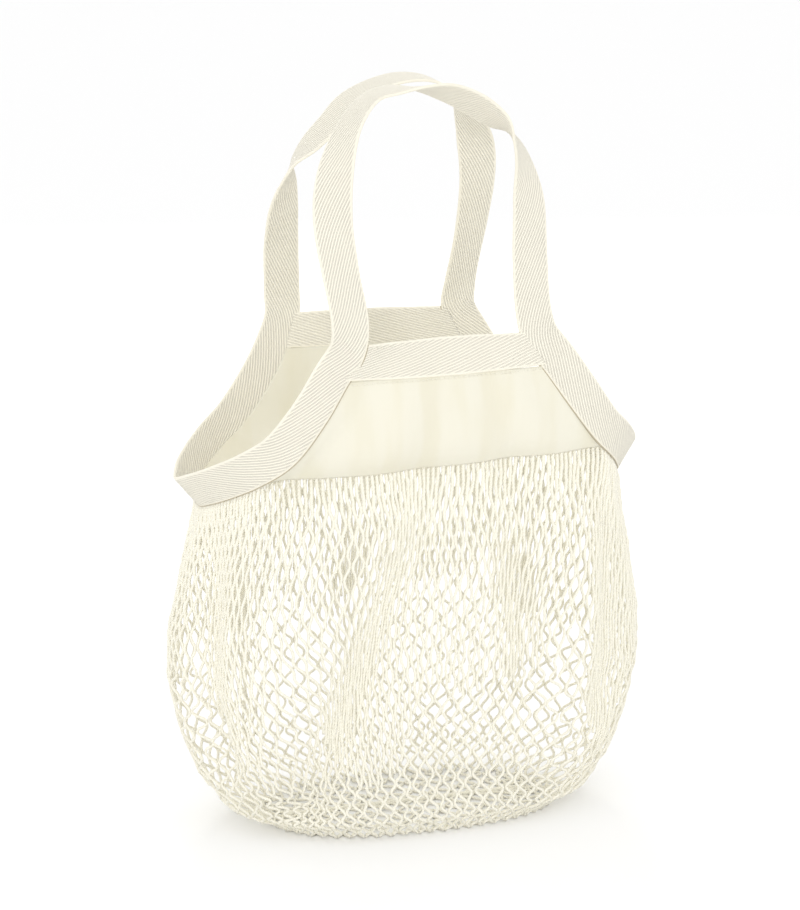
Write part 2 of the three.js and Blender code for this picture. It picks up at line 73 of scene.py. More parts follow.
# The armholes and the handles.
SIDE_REACH = 0.1515
SIDE_HEIGHT = 0.227
FRONT_SLANT_HALF_DEPTH = 0.073
BACK_SLANT_HALF_DEPTH = 0.050
BACK_SLANT_HANG = 1.35
HANDLE_HALF_SPREAD = 0.064
BACK_RIGHT_SPREAD = 0.056
HANDLE_RISE = 0.160
HANDLE_HALF_GAP = 0.032

# The pouch, which lies a little to one side.
NET_WALL = 0.0024
BELLY_SHIFT = -0.0015
BELLY_HALF_WIDTH = 0.160
BELLY_HALF_DEPTH = 0.084
BASE_HALF_WIDTH = 0.100
BASE_HALF_DEPTH = 0.065
BASE_SEAM_HALF_LENGTH = 0.078
OUTLINE_FULLNESS = 2.5
FOLD_DEPTH = 0.016
FOLD_FADE = 0.15
CREASE_FADE = 0.08

FRONT, BACK = -1, 1
RIGHT, LEFT = 1, -1

# Tape from a side corner up to the foot of a handle leg. out runs from the leg to the side,
# deep is a share of the slant's half depth, join how far that depth has come to the mouth's,
# up runs from the side corner to the mouth, and the tape's outside turns from the front
# (0 degrees) to the side (90) and tips down; ease is the share of that turn and tip which the
# back slants keep, because they lie flatter.
ArmRow = namedtuple("ArmRow", "out deep join up turn tip ease")
ARM_ROWS = [
    ArmRow(1.0, 0.0, 0.0, 0.0, 90, 40, 1.0),
    ArmRow(0.967, 0.26, 0.0, 0.05, 74, 34, 0.9),
    ArmRow(0.867, 0.55, 0.0, 0.14, 54, 25, 0.72),
    ArmRow(0.735, 0.785, 0.0, 0.24, 37, 16, 0.45),
    ArmRow(0.56, 0.945, 0.0, 0.37, 22, 8, 0.05),
    ArmRow(0.345, 1.005, 0.08, 0.61, 6, 3, -1.0),
    ArmRow(0.172, 1.0, 0.35, 0.825, 2, 1, -2.0),
    ArmRow(0.035, 1.0, 0.66, 0.985, 0, 0, 0.0),
]

# A handle from one leg to the other. across is a share of the handle's half spread, lean runs
# from the mouth to the handles' half gap, rise is a share of the handle's rise, and the
# tape's outside faces right, front and up.
HandleRow = namedtuple("HandleRow", "across lean rise right front top")
FRONT_HANDLE_ROWS = [
    HandleRow(1.0, 0.03, 0.09, 0.0, 1.0, 0.0),
    HandleRow(1.02, 0.34, 0.29, 0.05, 1.0, 0.0),
    HandleRow(1.05, 0.59, 0.51, 0.25, 0.97, 0.0),
    HandleRow(1.0, 0.72, 0.68, 0.75, 0.66, 0.0),
    HandleRow(0.9, 0.78, 0.77, 0.94, 0.3, 0.1),
    HandleRow(0.74, 0.84, 0.835, 0.85, -0.38, 0.5),
    HandleRow(0.51, 0.91, 0.9, 0.5, -0.6, 0.77),
    HandleRow(0.23, 0.97, 0.95, 0.3, -0.5, 0.9),
    HandleRow(-0.06, 1.0, 0.97, 0.1, -0.15, 1.0),
    HandleRow(-0.34, 1.0, 0.967, -0.2, 0.12, 1.0),
    HandleRow(-0.59, 0.97, 0.94, -0.5, 0.1, 0.85),
    HandleRow(-0.78, 0.88, 0.87, -0.85, 0.25, 0.5),
    HandleRow(-0.92, 0.78, 0.775, -0.9, 0.45, 0.1),
    HandleRow(-1.04, 0.66, 0.62, -0.6, 0.8, 0.0),
    HandleRow(-1.075, 0.53, 0.465, -0.2, 0.98, 0.0),
    HandleRow(-1.04, 0.31, 0.275, 0.0, 1.0, 0.0),
    HandleRow(-1.0, 0.03, 0.09, 0.0, 1.0, 0.0),
]
BACK_HANDLE_ROWS = [
    HandleRow(-1.0, 0.06, 0.09, 0.0, -1.0, 0.0),
    HandleRow(-1.03, 0.2, 0.275, -0.05, -1.0, 0.0),
    HandleRow(-1.06, 0.5, 0.43, -0.3, -0.95, 0.0),
    HandleRow(-1.05, 0.69, 0.545, -0.65, -0.76, 0.0),
    HandleRow(-1.02, 0.81, 0.63, -0.94, -0.33, 0.1),
    HandleRow(-0.84, 0.88, 0.715, -0.93, 0.12, 0.35),
    HandleRow(-0.65, 0.94, 0.795, -0.75, 0.28, 0.6),
    HandleRow(-0.45, 0.97, 0.885, -0.45, 0.28, 0.87),
    HandleRow(-0.16, 1.0, 0.95, -0.2, 0.2, 1.0),
    HandleRow(0.16, 1.0, 0.978, 0.05, 0.15, 1.0),
    HandleRow(0.46, 1.0, 0.962, 0.45, 0.08, 0.85),
    HandleRow(0.71, 0.97, 0.885, 0.75, 0.12, 0.5),
    HandleRow(0.88, 0.9, 0.785, 0.75, -0.5, 0.25),
    HandleRow(0.97, 0.78, 0.67, 0.35, -0.93, 0.05),
    HandleRow(1.01, 0.62, 0.545, 0.05, -1.0, 0.0),
    HandleRow(1.0, 0.31, 0.34, -0.2, -0.98, 0.0),
    HandleRow(0.92, 0.08, 0.09, -0.2, -0.98, 0.0),
]

# Soft upright creases of a panel: across runs from its left edge to its right one, slant is
# how far the crease drifts to the left on its way down, and lift is a share of its depth.
Crease = namedtuple("Crease", "across slant width lift")
FRONT_CREASES = [
    Crease(0.17, 0.09, 0.07, -1.0),
    Crease(0.33, 0.02, 0.08, 0.8),
    Crease(0.48, 0.03, 0.06, -0.6),
    Crease(0.7, -0.01, 0.06, -0.9),
    Crease(0.82, 0.0, 0.07, 0.7),
]
BACK_CREASES = [
    Crease(0.25, -0.03, 0.07, -0.8),
    Crease(0.5, 0.02, 0.08, 0.7),
    Crease(0.72, 0.04, 0.06, -0.9),
]

# Pouch sections from the sewn edge to the floor: down is the share of the way along the net,
# height a share of the sewn edge's, width and depth shares of the belly's half sizes, and
# hold says how much of the sewn edge's own shape is left.
PouchRow = namedtuple("PouchRow", "down height width depth hold")
POUCH_ROWS = [
    PouchRow(0.0, 1.0, 0.945, 0.95, 1.0),
    PouchRow(0.08, 0.91, 0.955, 0.97, 0.72),
    PouchRow(0.2, 0.77, 0.975, 0.985, 0.32),
    PouchRow(0.34, 0.6, 1.0, 1.0, 0.06),
    PouchRow(0.48, 0.44, 1.0, 1.0, 0.0),
    PouchRow(0.62, 0.29, 0.955, 0.985, 0.0),
    PouchRow(0.75, 0.16, 0.885, 0.955, 0.0),
    PouchRow(0.87, 0.065, 0.79, 0.9, 0.0),
]

# Folds of the pouch: around is the share of the way round from the right side by the front,
# sweep how far the fold wanders on its way down, width its spread, depth a share of
# FOLD_DEPTH, and start and end where it lies on the way down.
Fold = namedtuple("Fold", "around sweep width depth start end")
FOLDS = [
    Fold(0.095, 0.0, 0.018, 0.4, 0.0, 0.7),
    Fold(0.2, -0.035, 0.014, 0.5, 0.1, 0.7),
    Fold(0.235, 0.0, 0.03, 0.35, 0.2, 0.9),
    Fold(0.25, 0.17, 0.028, 1.0, 0.05, 0.95),
    Fold(0.458, 0.0, 0.02, 1.0, -0.05, 0.8),
    Fold(0.6, 0.02, 0.03, 0.8, 0.1, 0.8),
    Fold(0.74, -0.02, 0.03, 0.7, 0.1, 0.85),
    Fold(0.87, 0.02, 0.03, 0.8, 0.1, 0.8),
]

# Where the strings crowd together (more than 0) or stand apart (less than 0), with the same
# columns: crowd is the number of strings more for each one that lies free, and fade the share
# of the way down over which it comes and goes.
Crowd = namedtuple("Crowd", "around sweep width crowd start end fade")
CROWDS = [
    Crowd(0.02, 0.0, 0.025, 0.5, -0.3, 0.4, 0.25),
    Crowd(0.985, 0.0, 0.035, -0.35, 0.1, 1.1, 0.4),
    Crowd(0.09, 0.0, 0.012, 0.6, 0.0, 0.7, 0.35),
    Crowd(0.14, 0.0, 0.03, -0.5, 0.1, 1.0, 0.3),
    Crowd(0.19, -0.03, 0.01, 0.8, 0.05, 0.65, 0.3),
    Crowd(0.28, 0.0, 0.03, 0.3, -0.1, 0.3, 0.2),
    Crowd(0.26, 0.16, 0.018, 0.9, -0.05, 1.0, 0.5),
    Crowd(0.34, 0.0, 0.03, -0.25, 0.0, 0.6, 0.3),
    Crowd(0.43, 0.0, 0.022, 0.4, -0.1, 0.7, 0.6),
    Crowd(0.39, 0.0, 0.03, -0.5, 0.2, 0.95, 0.4),
    Crowd(0.46, 0.0, 0.013, 1.3, -0.1, 0.75, 0.6),
    Crowd(0.49, 0.0, 0.035, -0.35, 0.15, 1.1, 0.3),
    Crowd(0.615, 0.0, 0.016, 1.3, 0.1, 0.95, 0.4),
    Crowd(0.73, 0.012, 0.018, 1.4, 0.1, 1.0, 0.4),
    Crowd(0.9, -0.01, 0.016, 1.4, 0.1, 0.9, 0.4),
]

# Where rows of joins hang through: drop is a share of the way down the wall.
Sag = namedtuple("Sag", "around width drop start end")
SAGS = [
    Sag(0.4, 0.03, 0.11, 0.1, 0.97),
    Sag(0.5, 0.03, 0.04, 0.15, 0.97),
    Sag(0.14, 0.035, 0.04, 0.1, 0.95),
    Sag(0.26, 0.03, 0.02, 0.4, 0.97),
    Sag(0.69, 0.035, 0.05, 0.2, 0.95),
    Sag(0.84, 0.03, 0.04, 0.15, 0.95),
]
SAG_FADE = 0.3

# Every second string ends on the wall, where it is tied to its neighbour. Some stretches of
# the way round let them run further down, or less far.
MERGE_LEVEL = 0.5
MERGE_WANDER = 0.14
MERGE_GRAIN = (23, 0.7, 5.3)
Merge = namedtuple("Merge", "around width further")
MERGES = [
    Merge(0.0, 0.03, 0.15),
    Merge(0.09, 0.02, 0.2),
    Merge(0.33, 0.035, 0.2),
    Merge(0.405, 0.03, 0.2),
    Merge(0.75, 0.17, -0.1),
]

# Counts of steps that only set how finely the shapes are drawn.
SIDE_STEPS = 16
PANEL_STEPS = 96
OUTLINE_STEPS = 720
CROWD_STEPS = 600
SEARCH_TURNS = 40
NEARBY = 1e-4
HUMP_REACH = 4
SEAM_WELD = 2e-5

# A stitch's height as a share of its width, and its length as a share of the stitches' pitch.
STITCH_FLATNESS = 2 / 3
STITCH_FILL = 0.8


def lerp(start, end, share):
    return start + (end - start) * share


def smoothstep(value, start, end):
    share = min(max((value - start) / (end - start), 0.0), 1.0)
    return share * share * (3 - 2 * share)


def swell_at(around, middle, width):
    """A soft hump round the pouch, 1 at its middle."""
    apart = (around - middle + 0.5) % 1.0 - 0.5
    return math.exp(-((apart / width) ** 2)) if abs(apart) < HUMP_REACH * width else 0.0


def span_at(down, start, end, rise, fall):
    """1 between two levels, with a soft rise after the first and a soft fall to the second."""
    return smoothstep(down, start, start + rise) * (1 - smoothstep(down, end - fall, end))


def grain_place(grain, first, second=1.0):
    """Where two numbers lie in the noise, by the steps of a grain."""
    return Vector((first * grain[0], second * grain[1], grain[2]))


class ClosedLine:
    """A smooth closed line through points, which turns gently where they lie apart."""

    def __init__(self, points):
        self.points = points

    def at(self, share):
        place = share * len(self.points)
        index = math.floor(place)
        corners = [self.points[(index + step) % len(self.points)] for step in (-1, 0, 1, 2)]
        before, start, end, after = corners
        first, middle, last = (
            (corners[step + 1] - corners[step]).length_squared ** 0.25 for step in range(3)
        )
        middle = middle if middle > NEARBY else 1.0
        first = first if first > NEARBY else middle
        last = last if last > NEARBY else middle
        chord = (end - start) / middle
        leave = (start - before) / first - (end - before) / (first + middle) + chord
        arrive = chord - (after - start) / (middle + last) + (after - end) / last
        leave, arrive = leave * middle, arrive * middle
        weight = place - index
        square = (end - start) * 3 - leave * 2 - arrive
        cube = (start - end) * 2 + leave + arrive
        return start + weight * (leave + weight * (square + weight * cube))

    def direction(self, share):
        ahead = self.at(min(share + NEARBY, 1.0))
        return (ahead - self.at(max(share - NEARBY, 0.0))).normalized()


class EvenOutline:
    """A plump level outline that is walked evenly, from the right side by the front."""

    def __init__(self, half_width, half_depth):
        self.points = []
        for step in range(OUTLINE_STEPS + 1):
            angle = math.tau * step / OUTLINE_STEPS
            self.points.append((
                half_width * self.bend(math.cos(angle)),
                -half_depth * self.bend(math.sin(angle)),
            ))
        self.lengths = [0.0]
        for start, end in zip(self.points, self.points[1:]):
            self.lengths.append(self.lengths[-1] + math.dist(start, end))

    @staticmethod
    def bend(value):
        return math.copysign(abs(value) ** (2 / OUTLINE_FULLNESS), value)

    def at(self, share):
        goal = (share % 1.0) * self.lengths[-1]
        index = min(bisect_right(self.lengths, goal) - 1, OUTLINE_STEPS - 1)
        start, end = self.lengths[index], self.lengths[index + 1]
        (x, y), (next_x, next_y) = self.points[index], self.points[index + 1]
        part = (goal - start) / (end - start)
        return lerp(x, next_x, part), lerp(y, next_y, part)


def depth_at(across, depth):
    """The bag stands wider open on its left side than on its right one."""
    return depth * (1 - MOUTH_TAPER * min(max(across / HANDLE_HALF_SPREAD, -1.0), 1.0))


def arm_station(row, side, face):
    """The tape's middle and outward direction at a row of ARM_ROWS."""
    narrow = side == RIGHT and face == BACK
    leg = BACK_RIGHT_SPREAD if narrow else HANDLE_HALF_SPREAD
    out = row.out if face == FRONT else row.out ** BACK_SLANT_HANG
    across = side * lerp(leg, SIDE_REACH, out)
    slant = FRONT_SLANT_HALF_DEPTH if face == FRONT else BACK_SLANT_HALF_DEPTH
    depth = lerp(row.deep * slant, MOUTH_HALF_DEPTH, row.join)
    ease = 1 if face == FRONT else row.ease
    turn, tip = math.radians(row.turn * ease), math.radians(row.tip * ease)
    height = lerp(SIDE_HEIGHT, MOUTH_HEIGHT, row.up)
    facing = Vector((
        side * math.sin(turn) * math.cos(tip),
        face * math.cos(turn) * math.cos(tip),
        -math.sin(tip),
    ))
    return Vector((across, face * depth_at(across, depth), height)), facing


def handle_station(row, face):
    """The tape's middle and outward direction at a row of a handle."""
    across = row.across * HANDLE_HALF_SPREAD
    depth = depth_at(across, lerp(MOUTH_HALF_DEPTH, HANDLE_HALF_GAP, row.lean))
    point = Vector((across, face * depth, MOUTH_HEIGHT + row.rise * HANDLE_RISE))
    return point, Vector((row.right, -row.front, row.top))


def tape_stations():
    """All stations of the endless tape, from the right corner by the front handle."""

    def arm(side, face):
        return [arm_station(row, side, face) for row in ARM_ROWS]

    return [
        *arm(RIGHT, FRONT),
        *(handle_station(row, FRONT) for row in FRONT_HANDLE_ROWS),
        *arm(LEFT, FRONT)[:0:-1],
        *arm(LEFT, BACK),
        *(handle_station(row, BACK) for row in BACK_HANDLE_ROWS),
        *arm(RIGHT, BACK)[:0:-1],
    ]


STATIONS = tape_stations()
TAPE_LINE = ClosedLine([point for point, facing in STATIONS])
TAPE_FACING = ClosedLine([facing for point, facing in STATIONS])
TAPE_WIDTH = 0.025


def tape_frame(station):
    """The tape's middle, outward direction and inner-to-outer direction at a station."""
    share = (station / len(STATIONS)) % 1.0
    middle = TAPE_LINE.at(share)
    along = TAPE_LINE.direction(share)
    facing = TAPE_FACING.at(share)
    outward = (facing - along * facing.dot(along)).normalized()
    return middle, outward, along.cross(outward).normalized()


def inner_seam(station, beyond=SEAM_GAP):
    """A point beyond the tape's inner edge, where the next piece is sewn on."""
    middle, outward, across = tape_frame(station)
    return middle - across * (TAPE_WIDTH / 2 + beyond)


def station_at_height(low, high, height):
    """The station between two others at which the inner seam reaches a height."""
    for turn in range(SEARCH_TURNS):
        middle = (low + high) / 2
        if inner_seam(middle).z < height:
            low = middle
        else:
            high = middle
    return (low + high) / 2


Quarter = namedtuple("Quarter", "corner foot head band_foot mouth")
# Places in a quarter: a panel's foot, and the lower and upper edge of the band.
PANEL_FOOT, BAND_FOOT, MOUTH = 1, 3, 4


def foot_height(face, share):
    """How low a face's panel reaches, from the bag's left side (0) to its right one (1)."""
    foot_left = FRONT_FOOT_LEFT if face == FRONT else BACK_FOOT_LEFT
    return lerp(foot_left, FOOT_RIGHT, min(max(share, 0.0), 1.0))


def quarter(corner, direction, side, face):
    """The stations of one arm: its corner, the panel's foot and head, and the band's edges."""
    top = corner + direction * (len(ARM_ROWS) + 1)
    heights = (
        foot_height(face, (side + 1) / 2), MOUTH_HEIGHT - BAND_HEIGHT - SEAM_GAP,
        MOUTH_HEIGHT - BAND_HEIGHT, MOUTH_HEIGHT,
    )
    return Quarter(corner, *(station_at_height(corner, top, height) for height in heights))


LEFT_CORNER = 2 * len(ARM_ROWS) + len(FRONT_HANDLE_ROWS) - 1
FRONT_RIGHT = quarter(0, 1, RIGHT, FRONT)
FRONT_LEFT = quarter(LEFT_CORNER, -1, LEFT, FRONT)
BACK_LEFT = quarter(LEFT_CORNER, 1, LEFT, BACK)
BACK_RIGHT = quarter(len(STATIONS), -1, RIGHT, BACK)
PANELS = [
    ("front", FRONT_LEFT, FRONT_RIGHT, FRONT, FRONT_CREASES),
    ("back", BACK_RIGHT, BACK_LEFT, BACK, BACK_CREASES),
]


def spread(start, end, steps):
    """Evenly spaced numbers from one value to another, both included."""
    return [lerp(start, end, step / steps) for step in range(steps + 1)]


def panel_swell(across, down, creases, crease_depth):
    """How far a panel stands proud of the straight line between its edges."""
    arch = math.sin(math.pi * min(max(across, 0.0), 1.0)) * PANEL_BULGE * down
    waves = sum(
        crease.lift * math.exp(-(((across - crease.across + crease.slant * down)
                                  / crease.width) ** 2))
        for crease in creases
    )
    fade = smoothstep(across, 0, CREASE_FADE) * smoothstep(1 - across, 0, CREASE_FADE)
    return arch + crease_depth * down * fade * waves


def panel_point(left, right, face, creases, crease_depth, across):
    """A middle point of a panel between two seam points, across from its left edge."""
    point = left.lerp(right, across)
    foot = foot_height(face, (point.x / HANDLE_HALF_SPREAD + 1) / 2)
    down = (MOUTH_HEIGHT - point.z) / (MOUTH_HEIGHT - foot)
    point.y += face * panel_swell(across, down, creases, crease_depth)
    return point


def sewn_edge(crease_depth):
    """The pouch's sewn edge from the right side by the front, in even shares of the net."""

    def side(q):
        return [inner_seam(station) for station in spread(q.corner, q.foot, SIDE_STEPS)]

    def foot(left, right, face, creases):
        ends = inner_seam(left.foot), inner_seam(right.foot)
        points = [
            panel_point(*ends, face, creases, crease_depth, 1 - share)
            for share in spread(0, 1, PANEL_STEPS)
        ]
        return [point - Vector((0, 0, SEAM_GAP)) for point in points]

    halves = []
    for entry, left, right, leave, face, creases in (
        (FRONT_RIGHT, FRONT_LEFT, FRONT_RIGHT, FRONT_LEFT, FRONT, FRONT_CREASES),
        (BACK_LEFT, BACK_RIGHT, BACK_LEFT, BACK_RIGHT, BACK, BACK_CREASES),
    ):
        halves.append((side(entry), foot(left, right, face, creases), side(leave)[::-1]))
    return halves


class PouchSurface:
    """The middle surface of the pouch, by shares of the way round and down."""

    side_share = 4 / 40
    panel_share = 12 / 40

    def __init__(self, crease_depth):
        self.halves = sewn_edge(crease_depth)
        self.belly = EvenOutline(BELLY_HALF_WIDTH, BELLY_HALF_DEPTH)
        self.base = EvenOutline(BASE_HALF_WIDTH, BASE_HALF_DEPTH)
        self.downs = [row.down for row in POUCH_ROWS]

    def sewn(self, around):
        """A point of the sewn edge. Each half runs along a side, a panel and a side."""
        place = (around % 1.0) * 2
        half = self.halves[int(place)]
        share = (place - int(place)) / 2
        for points, length in zip(half, (self.side_share, self.panel_share, self.side_share)):
            if share <= length or points is half[2]:
                spot = min(share / length, 1.0) * (len(points) - 1)
                index = min(int(spot), len(points) - 2)
                return points[index].lerp(points[index + 1], spot - index)
            share -= length
        return half[2][-1]

    def press(self, around, down):
        """How deep the folds press the wall in."""
        return FOLD_DEPTH * sum(
            fold.depth * swell_at(around, fold.around + fold.sweep * down, fold.width)
            * span_at(down, fold.start, fold.end, FOLD_FADE, FOLD_FADE)
            for fold in FOLDS
        )

    def wall(self, around, down):
        """A point of the standing wall, down from the sewn edge (0) to the floor (1)."""
        sewn = self.sewn(around)
        belly_x, belly_y = self.belly.at(around)
        last = POUCH_ROWS[-1]
        flat = min(max(down, 0.0), last.down)
        index = min(bisect_right(self.downs, flat) - 1, len(POUCH_ROWS) - 2)
        row, below = POUCH_ROWS[index], POUCH_ROWS[index + 1]
        part = (flat - row.down) / (below.down - row.down)
        tuck = smoothstep(down, last.down, 1)
        base_x, base_y = self.base.at(around) if tuck else (belly_x, belly_y)
        x = lerp(belly_x * lerp(row.width, below.width, part), base_x, tuck) + BELLY_SHIFT
        y = lerp(belly_y * lerp(row.depth, below.depth, part), base_y, tuck)
        inward = Vector((-belly_x / BELLY_HALF_WIDTH, -belly_y / BELLY_HALF_DEPTH, 0))
        point = Vector((x, y, 0)) + inward.normalized() * self.press(around, down)
        point = point.lerp(sewn, lerp(row.hold, below.hold, part))
        height = lerp(row.height, below.height, part)
        height = lerp(height, 0.0, (down - flat) / (1 - last.down)) if down > flat else height
        point.z = lerp(NET_WALL / 2, sewn.z, height)
        return point

    def at(self, around, down):
        """A point of the wall, or of the bottom where down goes from 1 to 2."""
        if down <= 1:
            return self.wall(around, down)
        seam = BELLY_SHIFT + BASE_SEAM_HALF_LENGTH * math.cos(math.tau * around)
        return self.wall(around, 1.0).lerp(Vector((seam, 0, NET_WALL / 2)), down - 1)


class Sheet:
    """A mesh under construction, made of grids whose corners are moved into place."""

    def __init__(self):
        self.mesh = bmesh.new()
        self.uv = self.mesh.loops.layers.uv.new("UVMap")

    def grid(self, columns, rows, place, rim=0):
        """Adds a grid. place gives the point and the pattern's place of a column and row.

        A rim above 0 sews the sides together and closes ends of up to so many corners.
        """
        made = bmesh.ops.create_grid(
            self.mesh, x_segments=columns, y_segments=rows, size=1, calc_uvs=False,
        )
        for vertex in made["verts"]:
            column = round((vertex.co.x + 1) / 2 * columns)
            row = round((vertex.co.y + 1) / 2 * rows)
            vertex.co, pattern = place(column, row)
            for loop in vertex.link_loops:
                loop[self.uv].uv = pattern
        if rim:
            self.close(made["verts"], rim)

    def close(self, verts, rim):
        bmesh.ops.remove_doubles(self.mesh, verts=verts, dist=SEAM_WELD)
        kept = [vertex for vertex in verts if vertex.is_valid]
        edges = {edge for vertex in kept for edge in vertex.link_edges}
        rims = [edge for edge in edges if edge.is_boundary]
        bmesh.ops.holes_fill(self.mesh, edges=rims, sides=rim)
        faces = {face for vertex in kept for face in vertex.link_faces}
        bmesh.ops.recalc_face_normals(self.mesh, faces=list(faces))

    def tube(self, path, radius, sides, swell=None):
        """Adds a round cord along a path of points with their outward directions.

        swell(share) gives the factor on the radius at a share of the way along.
        """
        steps = len(path) - 1
        points = [point for point, outward in path]
        sideways = [
            (end - start).cross(outward).normalized()
            for start, end, (point, outward) in zip(
                [points[0], *points], [*points[1:], points[-1]], path,
            )
        ]
        lengths = [0.0]
        for start, end in zip(points, points[1:]):
            lengths.append(lengths[-1] + (end - start).length)

        def place(column, row):
            point, outward = path[row]
            angle = math.tau * column / sides
            offset = sideways[row] * math.cos(angle) + outward * math.sin(angle)
            wide = radius * swell(row / steps) if swell else radius
            return point + offset * wide, (column / sides, lengths[row])

        self.grid(sides, steps, place, rim=sides)

    def stitch(self, middle, along, outward, length, thickness):
        """Adds one stitch of thread that lies on a surface."""
        beside = outward.cross(along)
        height = thickness * STITCH_FLATNESS
        axes = Matrix((along * length / 2, beside * thickness / 2, outward * height / 2))
        place = Matrix.Translation(middle) @ axes.transposed().to_4x4()
        bmesh.ops.create_icosphere(self.mesh, subdivisions=1, radius=1, matrix=place)

    def finish(self, name, material, slot, nodes):
        """Makes the smooth piece that rides on the bag and stands for its nodes."""
        for face in self.mesh.faces:
            face.smooth = True
        data = bpy.data.meshes.new(name)
        self.mesh.to_mesh(data)
        self.mesh.free()
        data.materials.append(material)
        piece = bpy.data.objects.new(name, data)
        bpy.context.scene.collection.objects.link(piece)
        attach(piece, "root")
        if nodes:
            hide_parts(*nodes)
        return piece


# Places of the colour sockets of a Mix node.
MIX_SHARE, MIX_FIRST, MIX_SECOND, MIX_RESULT = 0, 6, 7, 2


class Signal:
    """A number inside a material. Sums on it add Math nodes."""

    def __init__(self, recipe, socket):
        self.recipe = recipe
        self.socket = socket

    def math(self, operation, *values, clamp=False):
        settings = {"operation": operation, "use_clamp": clamp}
        return self.recipe.number("ShaderNodeMath", settings, dict(enumerate(values)))

    def __add__(self, other):
        return self.math("ADD", self, other)

    def __radd__(self, other):
        return self.math("ADD", other, self)

    def __sub__(self, other):
        return self.math("SUBTRACT", self, other)

    def __rsub__(self, other):
        return self.math("SUBTRACT", other, self)

    def __mul__(self, other):
        return self.math("MULTIPLY", self, other)

    def __rmul__(self, other):
        return self.math("MULTIPLY", other, self)

    def __truediv__(self, other):
        return self.math("DIVIDE", self, other)

    def size(self):
        return self.math("ABSOLUTE", self)

    def joined(self, other):
        """A sum that stays between 0 and 1."""
        return self.math("ADD", self, other, clamp=True)

    def wave(self):
        """A sine whose full turn is 1, from -1 to 1."""
        return self.math("SINE", self * math.tau)

    def step(self, start, end):
        """A soft step from 0 to 1 between two values."""
        settings = {"interpolation_type": "SMOOTHSTEP", "clamp": True}
        values = {"Value": self, "From Min": start, "From Max": end}
        return self.recipe.number("ShaderNodeMapRange", settings, values, "Result")


class Recipe:
    """A material and the one way its nodes are added."""

    def __init__(self, name):
        self.material = bpy.data.materials.new(name)
        self.material.use_nodes = True
        self.tree = self.material.node_tree
        self.tree.nodes.clear()

    def add(self, kind, settings=None, inputs=None):
        """Adds a node, then its settings, then the values or links of its sockets."""
        node = self.tree.nodes.new(kind)
        for key, value in (settings or {}).items():
            setattr(node, key, value)
        for key, value in (inputs or {}).items():
            if isinstance(value, Signal):
                value = value.socket
            if isinstance(value, bpy.types.NodeSocket):
                self.tree.links.new(value, node.inputs[key])
            else:
                node.inputs[key].default_value = value
        return node

    def number(self, kind, settings=None, inputs=None, output=0):
        return Signal(self, self.add(kind, settings, inputs).outputs[output])

    def pattern_place(self):
        """The two shares of the piece's own pattern map."""
        place = self.add("ShaderNodeUVMap", {"uv_map": "UVMap"}).outputs["UV"]
        split = self.add("ShaderNodeSeparateXYZ", None, {"Vector": place})
        return Signal(self, split.outputs["X"]), Signal(self, split.outputs["Y"])

    def cloud(self, scale, detail=3.0, stretch=(1, 1, 1)):
        """Soft noise from 0 to 1 over the piece."""
        place = self.add("ShaderNodeTexCoord").outputs["Object"]
        mapped = self.add("ShaderNodeMapping", None, {"Vector": place, "Scale": stretch})
        inputs = {"Vector": mapped.outputs[0], "Scale": scale, "Detail": detail}
        return self.number("ShaderNodeTexNoise", None, inputs, "Fac")

    def tint(self, share, first, second):
        """A colour between two, by a share."""
        inputs = {MIX_SHARE: share, MIX_FIRST: (*first, 1), MIX_SECOND: (*second, 1)}
        return self.add("ShaderNodeMix", {"data_type": "RGBA"}, inputs).outputs[MIX_RESULT]

    def cotton(self, colour, height, strength, depth, rough):
        """Ends the recipe with a matte cotton shader over a relief."""
        bump = self.add("ShaderNodeBump", None, {
            "Height": height, "Strength": strength, "Distance": depth,
        })
        shader = self.add("ShaderNodeBsdfPrincipled", None, {
            "Base Color": colour,
            "Roughness": rough,
            "Normal": bump.outputs["Normal"],
            "Specular IOR Level": 0.2,
            "Sheen Weight": 0.25,
            "Sheen Roughness": 0.5,
        })
        self.add("ShaderNodeOutputMaterial", None, {"Surface": shader.outputs["BSDF"]})
        return self.material


def shade(colour, share):
    return tuple(value * share for value in colour)


def shade_warm(colour, share):
    """A darker colour that turns a little towards yellow, for the cloth's painted shade and slub
    tone.
    """
    red, green, blue = colour
    return red * share, green * share ** 1.3, blue * share ** 2.5


def twill_material(name, tape, lean, painted_rib_shade):
    """Slanting ribs that end in narrow plain edges, with painted shade in the grooves between the
    ribs.
    """
    recipe = Recipe(name)
    across, along = recipe.pattern_place()
    run = (across * math.cos(lean) + along * math.sin(lean)) / tape.rib_pitch
    ribs = run.wave().step(-1.0, 0.2)
    inner = TAPE_WIDTH / 2 - tape.selvedge
    edge = across.size().step(inner - tape.selvedge, inner)
    weft = (along / (tape.rib_pitch * 0.45)).wave()
    relief = ribs * (1 - edge) + edge * 0.8 + weft * 0.1
    fuzz = recipe.cloud(2600)
    patches = recipe.cloud(45)
    # Painted shade: the colour darkens with the relief, in the grooves between the ribs. The fuzz
    # and the patches give random tone.
    share = (relief * 0.75 + fuzz * 0.1).joined(patches * 0.25)
    colour = recipe.tint(share, shade(tape.colour, painted_rib_shade), tape.colour)
    return recipe.cotton(colour, relief + fuzz * 0.3, 0.9, tape.rib_depth, 0.92)


